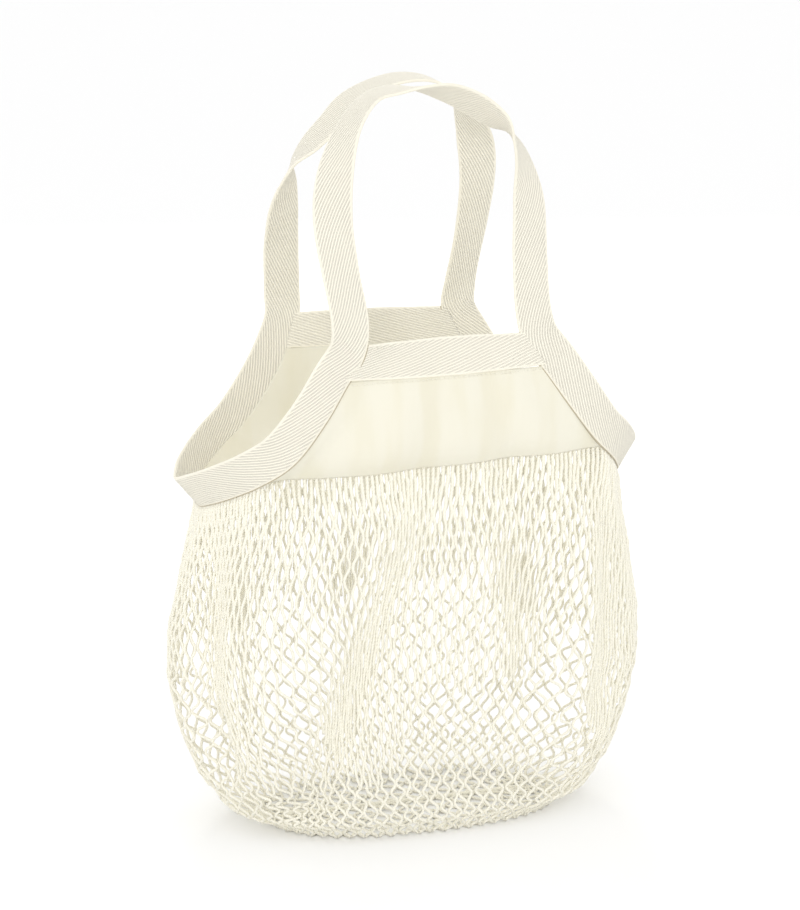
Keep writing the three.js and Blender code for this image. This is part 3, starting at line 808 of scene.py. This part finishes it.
def cloth_material(name, cloth):
    """A plain weave with random slub tone, painted darker in the weave's hollows, and soft upright
    bands of painted shade and light, as where the cloth has been folded.
    """
    recipe = Recipe(name)
    across, along = recipe.pattern_place()
    warp = (across / cloth.weave_pitch).wave()
    weft = (along / cloth.weave_pitch).wave()
    weave = warp * weft * 0.5 + 0.5
    slubs = recipe.cloud(420, 2.0, (1, 1, 0.15))
    fuzz = recipe.cloud(3000)
    # Painted shade and light: stretched noise makes upright bands that darken and lighten the
    # colour as creases would. The weave's hollows are painted darker too, and the slubs give
    # random tone.
    painted_crease_shade = recipe.cloud(60, 1.5, (1, 0.3, 0.22)).step(0.35, 0.62)
    share = (weave * 0.15 + slubs * 0.2).joined(painted_crease_shade * 0.65)
    colour = recipe.tint(share, shade_warm(cloth.colour, 0.95), cloth.colour)
    height = weave + slubs * 0.6 + fuzz * 0.3
    return recipe.cotton(colour, height, 0.5, cloth.weave_depth, 0.94)


def string_material(name, net):
    """Two plies twisted together, with loose fibres, and painted shade in the grooves between the
    plies and the loops.
    """
    recipe = Recipe(name)
    around, along = recipe.pattern_place()
    plies = (around * 2 + along / net.ply_pitch).wave() * 0.5 + 0.5
    loops = (along / (net.ply_pitch * 2.6)).wave() * 0.5 + 0.5
    fuzz = recipe.cloud(2400)
    patches = recipe.cloud(60)
    # Painted shade: the colour darkens with the plies' and loops' relief, in their grooves. The
    # fuzz and the patches give random tone.
    share = (plies * 0.45 + fuzz * 0.2).joined(patches * 0.3 + loops * 0.15)
    colour = recipe.tint(share, shade(net.colour, 0.95), net.colour)
    height = plies + fuzz * 0.4 + loops * 0.3
    return recipe.cotton(colour, height, 0.8, net.ply_depth, 0.95)


def thread_material(name, base):
    """Plain sewing thread, also used for the dark cord that paints the shadow in the tape's seams.
    """
    recipe = Recipe(name)
    fuzz = recipe.cloud(3500)
    colour = recipe.tint(fuzz, shade(base, 0.92), base)
    return recipe.cotton(colour, fuzz, 0.3, 0.0001, 0.8)


class TapeSettings(bpy.types.PropertyGroup):
    thickness: FloatProperty(
        name="Tape Thickness", description="Thickness of the twill tape",
        default=0.0019, min=0.0008, max=0.003, unit="LENGTH",
    )
    rib_pitch: FloatProperty(
        name="Rib Pitch", description="Distance between two ribs of the twill",
        default=0.0018, min=0.0005, max=0.004, unit="LENGTH",
    )
    rib_lean: FloatProperty(
        name="Rib Lean", description="Angle between the loop's ribs and its run",
        default=math.radians(-24), subtype="ANGLE",
    )
    band_rib_lean: FloatProperty(
        name="Band Rib Lean", description="Angle between a top band's ribs and its run",
        default=math.radians(18), subtype="ANGLE",
    )
    rib_depth: FloatProperty(
        name="Rib Depth", description="Height of a rib over its groove",
        default=0.0006, min=0.0, max=0.001, unit="LENGTH",
    )
    selvedge: FloatProperty(
        name="Selvedge", description="Width of the plain strip at each edge",
        default=0.001, min=0.0, max=0.006, unit="LENGTH",
    )
    stitch_length: FloatProperty(
        name="Stitch Length", description="Distance between two stitches",
        default=0.0033, min=0.002, max=0.006, unit="LENGTH",
    )
    thread_diameter: FloatProperty(
        name="Thread Diameter", description="Thickness of the sewing thread",
        default=0.0006, min=0.0003, max=0.0015, unit="LENGTH",
    )
    stitch_inset: FloatProperty(
        name="Stitch Inset", description="Distance of the stitch rows from the tape's edges",
        default=0.0018, min=0.001, max=0.006, unit="LENGTH",
    )
    colour: FloatVectorProperty(
        name="Tape Colour", description="Colour of the tape", subtype="COLOR",
        default=(0.93, 0.89, 0.765), min=0, max=1,
    )
    thread_colour: FloatVectorProperty(
        name="Thread Colour", description="Colour of the sewing thread", subtype="COLOR",
        default=(0.86, 0.83, 0.72), min=0, max=1,
    )
    # Painted shadow: the dark colour of the cord laid in the seams, where there is only shade.
    seam_shadow_colour: FloatVectorProperty(
        name="Seam Shadow Colour", description="Colour of the dark cord that paints the shadow in the seams",
        subtype="COLOR", default=(0.5, 0.44, 0.32), min=0, max=1,
    )


class ClothSettings(bpy.types.PropertyGroup):
    thickness: FloatProperty(
        name="Cloth Thickness", description="Thickness of a panel",
        default=0.001, min=0.0004, max=0.002, unit="LENGTH",
    )
    crease_depth: FloatProperty(
        name="Crease Depth", description="Depth of the soft upright creases",
        default=0.005, min=0.0, max=0.008, unit="LENGTH",
    )
    weave_pitch: FloatProperty(
        name="Weave Pitch", description="Distance between two threads of the cloth",
        default=0.0009, min=0.0003, max=0.002, unit="LENGTH",
    )
    weave_depth: FloatProperty(
        name="Weave Depth", description="Height of the weave's relief",
        default=0.0001, min=0.0, max=0.0005, unit="LENGTH",
    )
    colour: FloatVectorProperty(
        name="Cloth Colour", description="Colour of the panels", subtype="COLOR",
        default=(0.8, 0.775, 0.665), min=0, max=1,
    )


class NetSettings(bpy.types.PropertyGroup):
    strings: IntProperty(
        name="Strings", description="Number of strings round the pouch",
        default=240, min=16, max=300,
    )
    wall_rows: IntProperty(
        name="Wall Rows", description="Rows of joins down the pouch's wall",
        default=31, min=4, max=40,
    )
    bottom_rows: IntProperty(
        name="Bottom Rows", description="Rows of joins from the wall to the bottom seam",
        default=7, min=2, max=12,
    )
    row_steps: IntProperty(
        name="Row Steps", description="Steps of a string between two joins",
        default=6, min=2, max=8,
    )
    string_diameter: FloatProperty(
        name="String Diameter", description="Thickness of one string",
        default=0.0019, min=0.0008, max=0.004, unit="LENGTH",
    )
    join_width: FloatProperty(
        name="Join Width", description="Distance between two strings where they are joined",
        default=0.0017, min=0.0005, max=0.004, unit="LENGTH",
    )
    ply_pitch: FloatProperty(
        name="Ply Pitch", description="Distance between two turns of the twist",
        default=0.0026, min=0.001, max=0.01, unit="LENGTH",
    )
    ply_depth: FloatProperty(
        name="Ply Depth", description="Depth of the groove between the plies",
        default=0.0004, min=0.0, max=0.001, unit="LENGTH",
    )
    colour: FloatVectorProperty(
        name="String Colour", description="Colour of the net", subtype="COLOR",
        default=(0.95, 0.92, 0.8), min=0, max=1,
    )


class StageSettings(bpy.types.PropertyGroup):
    sky: FloatProperty(
        name="Sky", description="Strength of the even white light", default=1.1, min=0,
    )
    key: FloatProperty(
        name="Key", description="Power of the lamp in front of the bag",
        default=10.0, min=0, unit="POWER",
    )
    back: FloatProperty(
        name="Back Light", description="Power of the lamp behind the bag",
        default=12.0, min=0, unit="POWER",
    )
    floor_colour: FloatVectorProperty(
        name="Floor Colour", description="Colour of the floor", subtype="COLOR",
        default=(0.9, 0.9, 0.9), min=0, max=1,
    )


TAPE_SIDES = 6
TAPE_STEP = 0.003
STATION_STEPS = 40


def rounded_bar(width, thickness, faces=TAPE_SIDES, turns=4):
    """The section of a flat bar with round edges: places across and outward."""
    radius = thickness / 2
    flat = width / 2 - radius
    outside = [(place, radius) for place in spread(-flat, flat, faces)]
    edge = [
        (flat + radius * math.sin(math.pi * turn / turns),
         radius * math.cos(math.pi * turn / turns))
        for turn in range(1, turns)
    ]
    half = outside + edge
    return half + [(-across, -outward) for across, outward in half]


def even_stations(step):
    """Station numbers at even distances round the whole tape."""
    fine = spread(0, len(STATIONS), STATION_STEPS * len(STATIONS))
    points = [TAPE_LINE.at((station / len(STATIONS)) % 1.0) for station in fine]
    lengths = [0.0]
    for start, end in zip(points, points[1:]):
        lengths.append(lengths[-1] + (end - start).length)
    count = round(lengths[-1] / step)
    even = []
    for turn in range(count):
        goal = lengths[-1] * turn / count
        index = bisect_right(lengths, goal) - 1
        part = (goal - lengths[index]) / (lengths[index + 1] - lengths[index])
        even.append((lerp(fine[index], fine[index + 1], part), goal))
    return even


def bar_piece(frames, section, closed):
    """Carries a section along frames of (middle, outward, across, length)."""
    sheet = Sheet()
    count = len(frames)
    steps = count if closed else count - 1

    def place(column, row):
        middle, outward, across, length = frames[row % count]
        side, face = section[column % len(section)]
        if row == count:
            length += frames[1][3] - frames[0][3]
        return middle + across * side + outward * face, (side, length)

    sheet.grid(len(section), steps, place, rim=len(section))
    return sheet


class BAG_OT_webbing_loop(bpy.types.Operator):
    """Makes the endless tape of the armholes and handles"""

    bl_idname = "bag.webbing_loop"
    bl_label = "Webbing Loop"
    arm_bow = 1.1
    # Place, thickness and sides of the dark cord that paints the shadow in the seam at the tape's
    # inner edge.
    shadow_cord_height = 0.55
    shadow_cord_fill = 0.7
    shadow_cord_sides = 6

    def execute(self, context):
        tape = context.scene.bag_tape
        section = rounded_bar(TAPE_WIDTH, tape.thickness)
        frames = [(*tape_frame(station), length) for station, length in even_stations(TAPE_STEP)]
        material = twill_material("tape_twill", tape, tape.rib_lean, 0.8)
        bar = bar_piece(frames, section, closed=True)
        bar.finish("webbing_loop_tape", material, "twill_tape", ["webbing_loop"])
        self.sewing(tape)
        return {"FINISHED"}

    def sewing(self, tape):
        """The stitches, and a dark cord along the tape's inner edge that paints the shadow of the
        seam.
        """
        inset = TAPE_WIDTH / 2 - tape.stitch_inset
        stitches, groove = Sheet(), Sheet()
        for q in (FRONT_RIGHT, FRONT_LEFT, BACK_LEFT, BACK_RIGHT):
            ends = tape_frame(q.corner)[0], tape_frame(q.mouth)[0]
            count = round(self.arm_bow * (ends[1] - ends[0]).length / tape.stitch_length)
            for face in (1, -1):
                line = []
                for station in spread(q.corner, q.mouth, count):
                    middle, outward, across = tape_frame(station)
                    lift = outward * (face * tape.thickness / 2)
                    edge = middle - across * (TAPE_WIDTH / 2)
                    stitches.stitch(middle - across * inset + lift, outward.cross(across), outward,
                                    tape.stitch_length * STITCH_FILL, tape.thread_diameter)
                    # A dark cord at the tape's inner edge paints the seam's shadow.
                    line.append((edge + lift * self.shadow_cord_height, outward))
                groove.tube(line, tape.thread_diameter * self.shadow_cord_fill, self.shadow_cord_sides)
        thread = thread_material("tape_thread", tape.thread_colour)
        stitches.finish("tape_seam_stitches", thread, "twill_tape", [])
        # The dark cord gets the painted shadow colour, not a thread's own colour.
        deep = thread_material("seam_shadow_cord", tape.seam_shadow_colour)
        groove.finish("tape_seam_shadow_cords", deep, "twill_tape", [])


class BAG_OT_top_bands(bpy.types.Operator):
    """Makes the level tape along each edge of the mouth"""

    bl_idname = "bag.top_bands"
    bl_label = "Top Bands"
    steps = 60
    tuck = 0.004

    def execute(self, context):
        tape = context.scene.bag_tape
        material = twill_material("band_twill", tape, tape.band_rib_lean, 0.9)
        for name, left, right, face, creases in PANELS:
            bar = self.band(left, right, face, creases, context)
            node = f"{name}_top_band"
            piece = bar.finish(f"{name}_band_tape", material, "twill_tape", [node])
        return {"FINISHED"}

    def band(self, left, right, face, creases, context):
        """One band, tucked a little into the tape at both of its ends."""
        cloth, tape = context.scene.bag_cloth, context.scene.bag_tape
        section = rounded_bar(BAND_HEIGHT, tape.thickness)
        edges = [(inner_seam(left[slot], -self.tuck), inner_seam(right[slot], -self.tuck))
                 for slot in (BAND_FOOT, MOUTH)]
        foot, head = (
            [panel_point(*ends, face, creases, cloth.crease_depth, share)
             for share in spread(0, 1, self.steps)]
            for ends in edges
        )
        frames = []
        length = 0.0
        for index, (low, high) in enumerate(zip(foot, head)):
            middle = (low + high) / 2
            across = (low - high).normalized()
            beside = head[min(index + 1, self.steps)] - head[max(index - 1, 0)]
            outward = beside.cross(-across).normalized()
            if index:
                length += (middle - frames[-1][0]).length
            frames.append((middle, outward, across, length))
        return bar_piece(frames, section, closed=False)


class BAG_OT_panels(bpy.types.Operator):
    """Makes the two cloth panels"""

    bl_idname = "bag.panels"
    bl_label = "Panels"
    columns = 110
    rows = 30
    tuck = 0.003
    sink = 0.0006
    slack_height = 1.15

    def execute(self, context):
        cloth = context.scene.bag_cloth
        material = cloth_material("panel_cloth", cloth)
        for name, left, right, face, creases in PANELS:
            sheet, area = self.panel(left, right, face, creases, cloth)
            node = f"{name}_panel"
            piece = sheet.finish(f"{node}_cloth", material, "plain_cloth", [node])
            solidify = piece.modifiers.new("cloth", "SOLIDIFY")
            solidify.thickness = cloth.thickness
            solidify.offset = 0
            low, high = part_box(node)
            flat = (high.x - low.x, (high.z - low.z) * self.slack_height)
            share = min(area / (flat[0] * flat[1]), 1.0)
            share * flat[0] * flat[1]
        return {"FINISHED"}

    def panel(self, left, right, face, creases, cloth):
        """One panel, whose edges run a little way into the tape and the band."""
        sheet = Sheet()
        lefts = spread(left.head, left.foot, self.rows)
        rights = spread(right.head, right.foot, self.rows)
        inward = Vector((0, -face * self.sink, 0))
        lines = []
        for start, end in zip(lefts, rights):
            ends = inner_seam(start, -self.tuck), inner_seam(end, -self.tuck)
            lines.append([
                panel_point(*ends, face, creases, cloth.crease_depth, share) + inward
                for share in spread(0, 1, self.columns)
            ])
        lines.insert(0, [point + Vector((0, 0, self.tuck / 2)) for point in lines[0]])
        area = sum(
            (upper[i + 1] - upper[i]).cross(lower[i] - upper[i]).length
            for upper, lower in zip(lines, lines[1:]) for i in range(self.columns)
        )

        def place(column, row):
            point = lines[-1 - row][column]
            return point, (point.x, point.z)

        sheet.grid(self.columns, len(lines) - 1, place)
        return sheet, area


class BAG_OT_seam_stitches(bpy.types.Operator):
    """Makes the rows of stitches along the top bands and the feet of the panels"""

    bl_idname = "bag.seam_stitches"
    bl_label = "Seam Stitches"
    panel_inset = 0.0035
    fine = 400

    def execute(self, context):
        tape, cloth = context.scene.bag_tape, context.scene.bag_cloth
        thread = thread_material("seam_thread", tape.thread_colour)
        band_lift = tape.thickness / 2
        cloth_lift = cloth.thickness / 2
        for name, left, right, face, creases in PANELS:
            sheet = Sheet()
            edge = tape.stitch_inset / BAND_HEIGHT
            rows = [
                (lerp(BAND_FOOT, MOUTH, edge), band_lift, 0.0, 0.0),
                (lerp(BAND_FOOT, MOUTH, 1 - edge), band_lift, 0.0, 0.0),
                (PANEL_FOOT, cloth_lift, self.panel_inset, BAG_OT_panels.sink),
            ]
            for slot, lift, rise, sink in rows:
                line = self.line(left, right, face, creases, cloth, slot, rise)
                for level in (1, -1):
                    self.row(sheet, line, face, face * (level * lift - sink), tape)
            sheet.finish(f"{name}_seam_stitches", thread, "twill_tape", [])
        return {"FINISHED"}

    def line(self, left, right, face, creases, cloth, slot, rise):
        """Close points along a level seam between two stations of the quarters."""
        ends = []
        for q in (left, right):
            low = int(slot)
            station = lerp(q[low], q[min(low + 1, MOUTH)], slot - low)
            ends.append(inner_seam(station) + Vector((0, 0, rise)))
        return [
            panel_point(*ends, face, creases, cloth.crease_depth, share)
            for share in spread(0, 1, self.fine)
        ]

    def row(self, sheet, line, face, offset, tape):
        """Even stitches along a line, moved out by an offset."""
        travelled = 0.0
        for start, end in zip(line, line[1:]):
            travelled += (end - start).length
            if travelled >= tape.stitch_length:
                travelled -= tape.stitch_length
                along = (end - start).normalized()
                outward = Vector((0, 0, 1)).cross(along).normalized()
                middle = end + Vector((0, offset, 0))
                sheet.stitch(middle, along, outward, tape.stitch_length * STITCH_FILL,
                             tape.thread_diameter)


class Crowding:
    """Where each string runs round the pouch: close together in folds and wide between them."""

    def __init__(self, strings):
        self.strings = strings
        self.tables = {}

    @staticmethod
    def density(around, down):
        return 1.0 + sum(
            row.crowd * swell_at(around, row.around + row.sweep * down, row.width)
            * span_at(down, row.start, row.end, row.fade, row.fade)
            for row in CROWDS
        )

    def table(self, down):
        """Shares of all strings up to each step round, at one level: half of them in front."""
        if down not in self.tables:
            half = CROWD_STEPS // 2
            shares = [0.0]
            for start in (0, half):
                sums = [0.0]
                for step in range(start, start + half):
                    sums.append(sums[-1] + self.density((step + 0.5) / CROWD_STEPS, down))
                base = shares[-1]
                shares += [base + value / sums[-1] / 2 for value in sums[1:]]
            self.tables[down] = shares
        return self.tables[down]

    def around(self, string, down):
        """The share of the way round at which a string number lies."""
        table = self.table(down)
        share = (string / self.strings) % 1.0
        index = min(bisect_right(table, share) - 1, CROWD_STEPS - 1)
        part = (share - table[index]) / (table[index + 1] - table[index])
        return (index + part) / CROWD_STEPS


def sagging(around, down):
    """How much further down the wall a row of joins hangs."""
    return sum(
        row.drop * swell_at(around, row.around, row.width)
        * span_at(down, row.start, row.end, 2 * SAG_FADE, SAG_FADE)
        for row in SAGS
    )


def merge_level(around):
    """How far down the wall every second string ends."""
    level = MERGE_LEVEL + MERGE_WANDER * noise.noise(grain_place(MERGE_GRAIN, around))
    level += sum(row.further * swell_at(around, row.around, row.width) for row in MERGES)
    return min(level, 1.0)


class BAG_OT_net_pouch(bpy.types.Operator):
    """Makes the knitted net, string by string, and the cord of its bottom seam"""

    bl_idname = "bag.net_pouch"
    bl_label = "Net Pouch"
    pieces = ("front_right", "front_left", "back_left", "back_right")
    string_sides = 6
    top_tuck = 0.0045
    top_sink = 0.002
    top_swing = 0.2
    opening_rows = 3
    top_thickness = 1.3
    thick_rows = 7
    free_reach = 3
    slack = 4
    stretched = 7
    round_wave = 0.85
    square_wave = 0.35
    wander = 0.002
    tight_wander = 0.4
    low_calm = 0.7
    drift_grain = (0.55, 0.45, 3.1)
    pile_grain = (0.37, 0.25, 9.7)
    pile_height = 1.3
    crossing_lift = 0.2
    nearby = 0.004
    seam_sides = 10
    seam_diameter = 0.003
    seed = 7

    def execute(self, context):
        noise.seed_set(self.seed)
        net = context.scene.bag_net
        surface = PouchSurface(context.scene.bag_cloth.crease_depth)
        crowding = Crowding(net.strings)
        material = string_material("knitted_string", net)
        share = net.strings / len(self.pieces)
        for index, name in enumerate(self.pieces):
            sheet = Sheet()
            for string in range(round(index * share), round((index + 1) * share)):
                path = self.path(surface, crowding, net, string)
                thick = self.thickening(net, len(path) - 1)
                sheet.tube(path, net.string_diameter / 2, self.string_sides, swell=thick)
            sheet.finish(f"net_{name}", material, "knitted_string", ["net_pouch"])
        self.seam(material)
        return {"FINISHED"}

    def thickening(self, net, steps):
        """The factor on the thickness, which is larger where the knit is drawn together on top."""
        def factor(share):
            row = share * steps / net.row_steps
            return lerp(self.top_thickness, 1.0, smoothstep(row, 1, self.thick_rows))
        return factor

    def seam(self, material):
        """The cord that closes the bottom, from one end of the seam to the other."""
        half = BASE_SEAM_HALF_LENGTH + self.seam_diameter
        sheet = Sheet()
        path = [
            (Vector((BELLY_SHIFT + across, 0, self.seam_diameter / 2)), Vector((0, 0, 1)))
            for across in spread(-half, half, SIDE_STEPS * 2)
        ]
        sheet.tube(path, self.seam_diameter / 2, self.seam_sides)
        sheet.finish("net_bottom_seam", material, "knitted_string", ["net_pouch"])

    def last_row(self, net, string, merge):
        """Every second string ends on the wall, every fourth just past it."""
        if string % 2:
            return round(merge)
        return net.wall_rows + (1 if string % 4 else net.bottom_rows)

    def swing(self, net, string, row, spacing, merge):
        """How far a string swings sideways from its middle line, and how loose it lies."""
        merged = smoothstep(row, merge - 0.4, merge + 1)
        reach = spacing * (1 + merged) / net.string_diameter
        wave = math.cos(math.pi * row)
        sharp = lerp(self.round_wave, self.square_wave,
                     smoothstep(reach, self.slack, self.stretched))
        wave = math.copysign(abs(wave) ** sharp, wave)
        narrow, wide, base = (
            max(share * spacing - net.join_width, 0.0) / 2 * (-1 if string % (2 * share) else 1)
            for share in (1, 2, 4)
        )
        sideways = lerp(lerp(narrow, wide, merged), base, smoothstep(row - net.wall_rows, 0.6, 2))
        sideways *= lerp(self.top_swing, 1.0, smoothstep(row, 0.5, self.opening_rows))
        return wave, sideways * wave, min(reach / self.free_reach, 1.0)

    def path(self, surface, crowding, net, string):
        """The zigzag run of one string: its points and their outward directions."""
        merge = merge_level(crowding.around(string, MERGE_LEVEL)) * net.wall_rows
        path = []
        for place in range(self.last_row(net, string, merge) * net.row_steps + 1):
            row = place / net.row_steps
            down = row / net.wall_rows
            if row > net.wall_rows:
                down = 1 + (row - net.wall_rows) / net.bottom_rows
            level = min(down, 1.0)
            around = crowding.around(string, level)
            beside = (crowding.around(string + 0.5, level) - around + 0.5) % 1.0 - 0.5
            if down < 1:
                down = min(down + sagging(around, down), 1.0)
            here = surface.at(around, down)
            side = surface.at(around + beside, down) - here
            below = surface.at(around, min(down + self.nearby, 2.0)) - here
            outward = side.cross(below).normalized()
            if down >= 1 or outward.length < 0.5:
                outward = Vector((0, 0, -1))
            wave, sideways, loose = self.swing(net, string, row, 2 * side.length, merge)
            drift = noise.noise_vector(grain_place(self.drift_grain, string, row))
            drift *= self.wander * min(row, 1) * lerp(self.tight_wander, 1.0, loose)
            drift *= 1 - self.low_calm * smoothstep(down, 0.85, 1)
            layer = wave * abs(wave) * net.string_diameter * self.crossing_lift
            layer *= -1 if string % 2 else 1
            pile = noise.noise(grain_place(self.pile_grain, string, row))
            layer += pile * (1 - loose) * net.string_diameter * self.pile_height * min(row, 1)
            point = here + side.normalized() * (sideways + drift.x) + outward * layer
            point.z += drift.z
            if row < 1:
                hidden = 1 - smoothstep(row, 0, 0.7)
                point -= outward * (self.top_sink * hidden)
                point.z += self.top_tuck * hidden
            point.z = max(point.z, net.string_diameter / 2)
            path.append((point, outward))
        return path


class BAG_OT_stage(bpy.types.Operator):
    """Sets the floor, the light and the camera"""

    bl_idname = "bag.stage"
    bl_label = "Stage"
    azimuth = math.radians(-20.5)
    elevation = math.radians(12)
    distance = 2.0
    target_height = 0.239
    target_across = -0.005
    focal_pixels = 3044
    picture_height = 910
    sensor = 36.0
    floor_half = 40.0
    key_turn = math.radians(-26)
    key_rise = math.radians(20)
    lamp_distance = 2.6
    back_turn = math.radians(165)
    back_rise = math.radians(24)
    lamp_size = 0.7

    def execute(self, context):
        stage = context.scene.bag_stage
        self.floor(stage)
        self.sky(context.scene, stage)
        self.lamp("key_lamp", self.key_turn, self.key_rise, stage.key)
        self.lamp("back_lamp", self.back_turn, self.back_rise, stage.back)
        self.camera(context.scene)
        return {"FINISHED"}

    def aim(self, turn, rise, distance):
        """A place at an angle and a distance from the middle of the view."""
        target = Vector((
            math.cos(self.azimuth) * self.target_across,
            math.sin(self.azimuth) * self.target_across,
            self.target_height,
        ))
        back = Vector((
            math.sin(turn) * math.cos(rise), -math.cos(turn) * math.cos(rise), math.sin(rise),
        ))
        return target + back * distance

    def floor(self, stage):
        mesh = bmesh.new()
        bmesh.ops.create_grid(mesh, x_segments=1, y_segments=1, size=self.floor_half)
        data = bpy.data.meshes.new("floor")
        mesh.to_mesh(data)
        mesh.free()
        recipe = Recipe("floor")
        shader = recipe.add("ShaderNodeBsdfPrincipled", None, {
            "Base Color": (*stage.floor_colour, 1), "Roughness": 0.9,
            "Specular IOR Level": 0.1,
        })
        recipe.add("ShaderNodeOutputMaterial", None, {"Surface": shader.outputs["BSDF"]})
        data.materials.append(recipe.material)
        floor = bpy.data.objects.new("floor", data)
        bpy.context.scene.collection.objects.link(floor)

    def sky(self, scene, stage):
        world = bpy.data.worlds.new("studio")
        world.use_nodes = True
        background = world.node_tree.nodes["Background"]
        background.inputs["Color"].default_value = (1, 1, 1, 1)
        background.inputs["Strength"].default_value = stage.sky
        scene.world = world
        scene.view_settings.view_transform = "Standard"
        scene.view_settings.look = "None"

    def lamp(self, name, turn, rise, power):
        lamp = bpy.data.lights.new(name, "AREA")
        lamp.size = self.lamp_size
        lamp.energy = power
        source = bpy.data.objects.new(name, lamp)
        source.location = self.aim(turn, rise, self.lamp_distance)
        aim = Vector((0, 0, self.target_height)) - source.location
        source.rotation_euler = aim.to_track_quat("-Z", "Y").to_euler()
        bpy.context.scene.collection.objects.link(source)

    def camera(self, scene):
        lens = bpy.data.cameras.new("camera")
        lens.sensor_width = self.sensor
        lens.lens = self.focal_pixels / self.picture_height * self.sensor
        lens.clip_start, lens.clip_end = 0.01, 50
        camera = bpy.data.objects.new("camera", lens)
        camera.location = self.aim(self.azimuth, self.elevation, self.distance)
        forward = self.aim(self.azimuth, self.elevation, 0) - camera.location
        camera.rotation_euler = forward.to_track_quat("-Z", "Y").to_euler()
        scene.collection.objects.link(camera)
        scene.camera = camera


class BAG_PT_sidebar(bpy.types.Panel):
    """Lists the bag's pieces and settings"""

    bl_label = "Shopping Bag"
    bl_idname = "BAG_PT_sidebar"
    bl_space_type = "VIEW_3D"
    bl_region_type = "UI"
    bl_category = "Shopping Bag"

    def draw(self, context):
        for operator in OPERATORS:
            self.layout.operator(operator.bl_idname)
        for name in SETTINGS:
            group = getattr(context.scene, name)
            box = self.layout.box()
            for key in group.__annotations__:
                box.prop(group, key)


SETTINGS = {
    "bag_tape": TapeSettings,
    "bag_cloth": ClothSettings,
    "bag_net": NetSettings,
    "bag_stage": StageSettings,
}
OPERATORS = [
    BAG_OT_stage, BAG_OT_webbing_loop, BAG_OT_panels, BAG_OT_top_bands, BAG_OT_seam_stitches,
    BAG_OT_net_pouch,
]


def register():
    for kind in (*SETTINGS.values(), *OPERATORS, BAG_PT_sidebar):
        bpy.utils.register_class(kind)
    for name, kind in SETTINGS.items():
        setattr(bpy.types.Scene, name, PointerProperty(type=kind))


def unregister():
    for name in SETTINGS:
        delattr(bpy.types.Scene, name)
    for kind in reversed((*SETTINGS.values(), *OPERATORS, BAG_PT_sidebar)):
        bpy.utils.unregister_class(kind)


def main():
    register()
    for operator in OPERATORS:
        group, name = operator.bl_idname.split(".")
        getattr(getattr(bpy.ops, group), name)()
    bpy.context.view_layer.update()


if __name__ == "__main__":
    main()
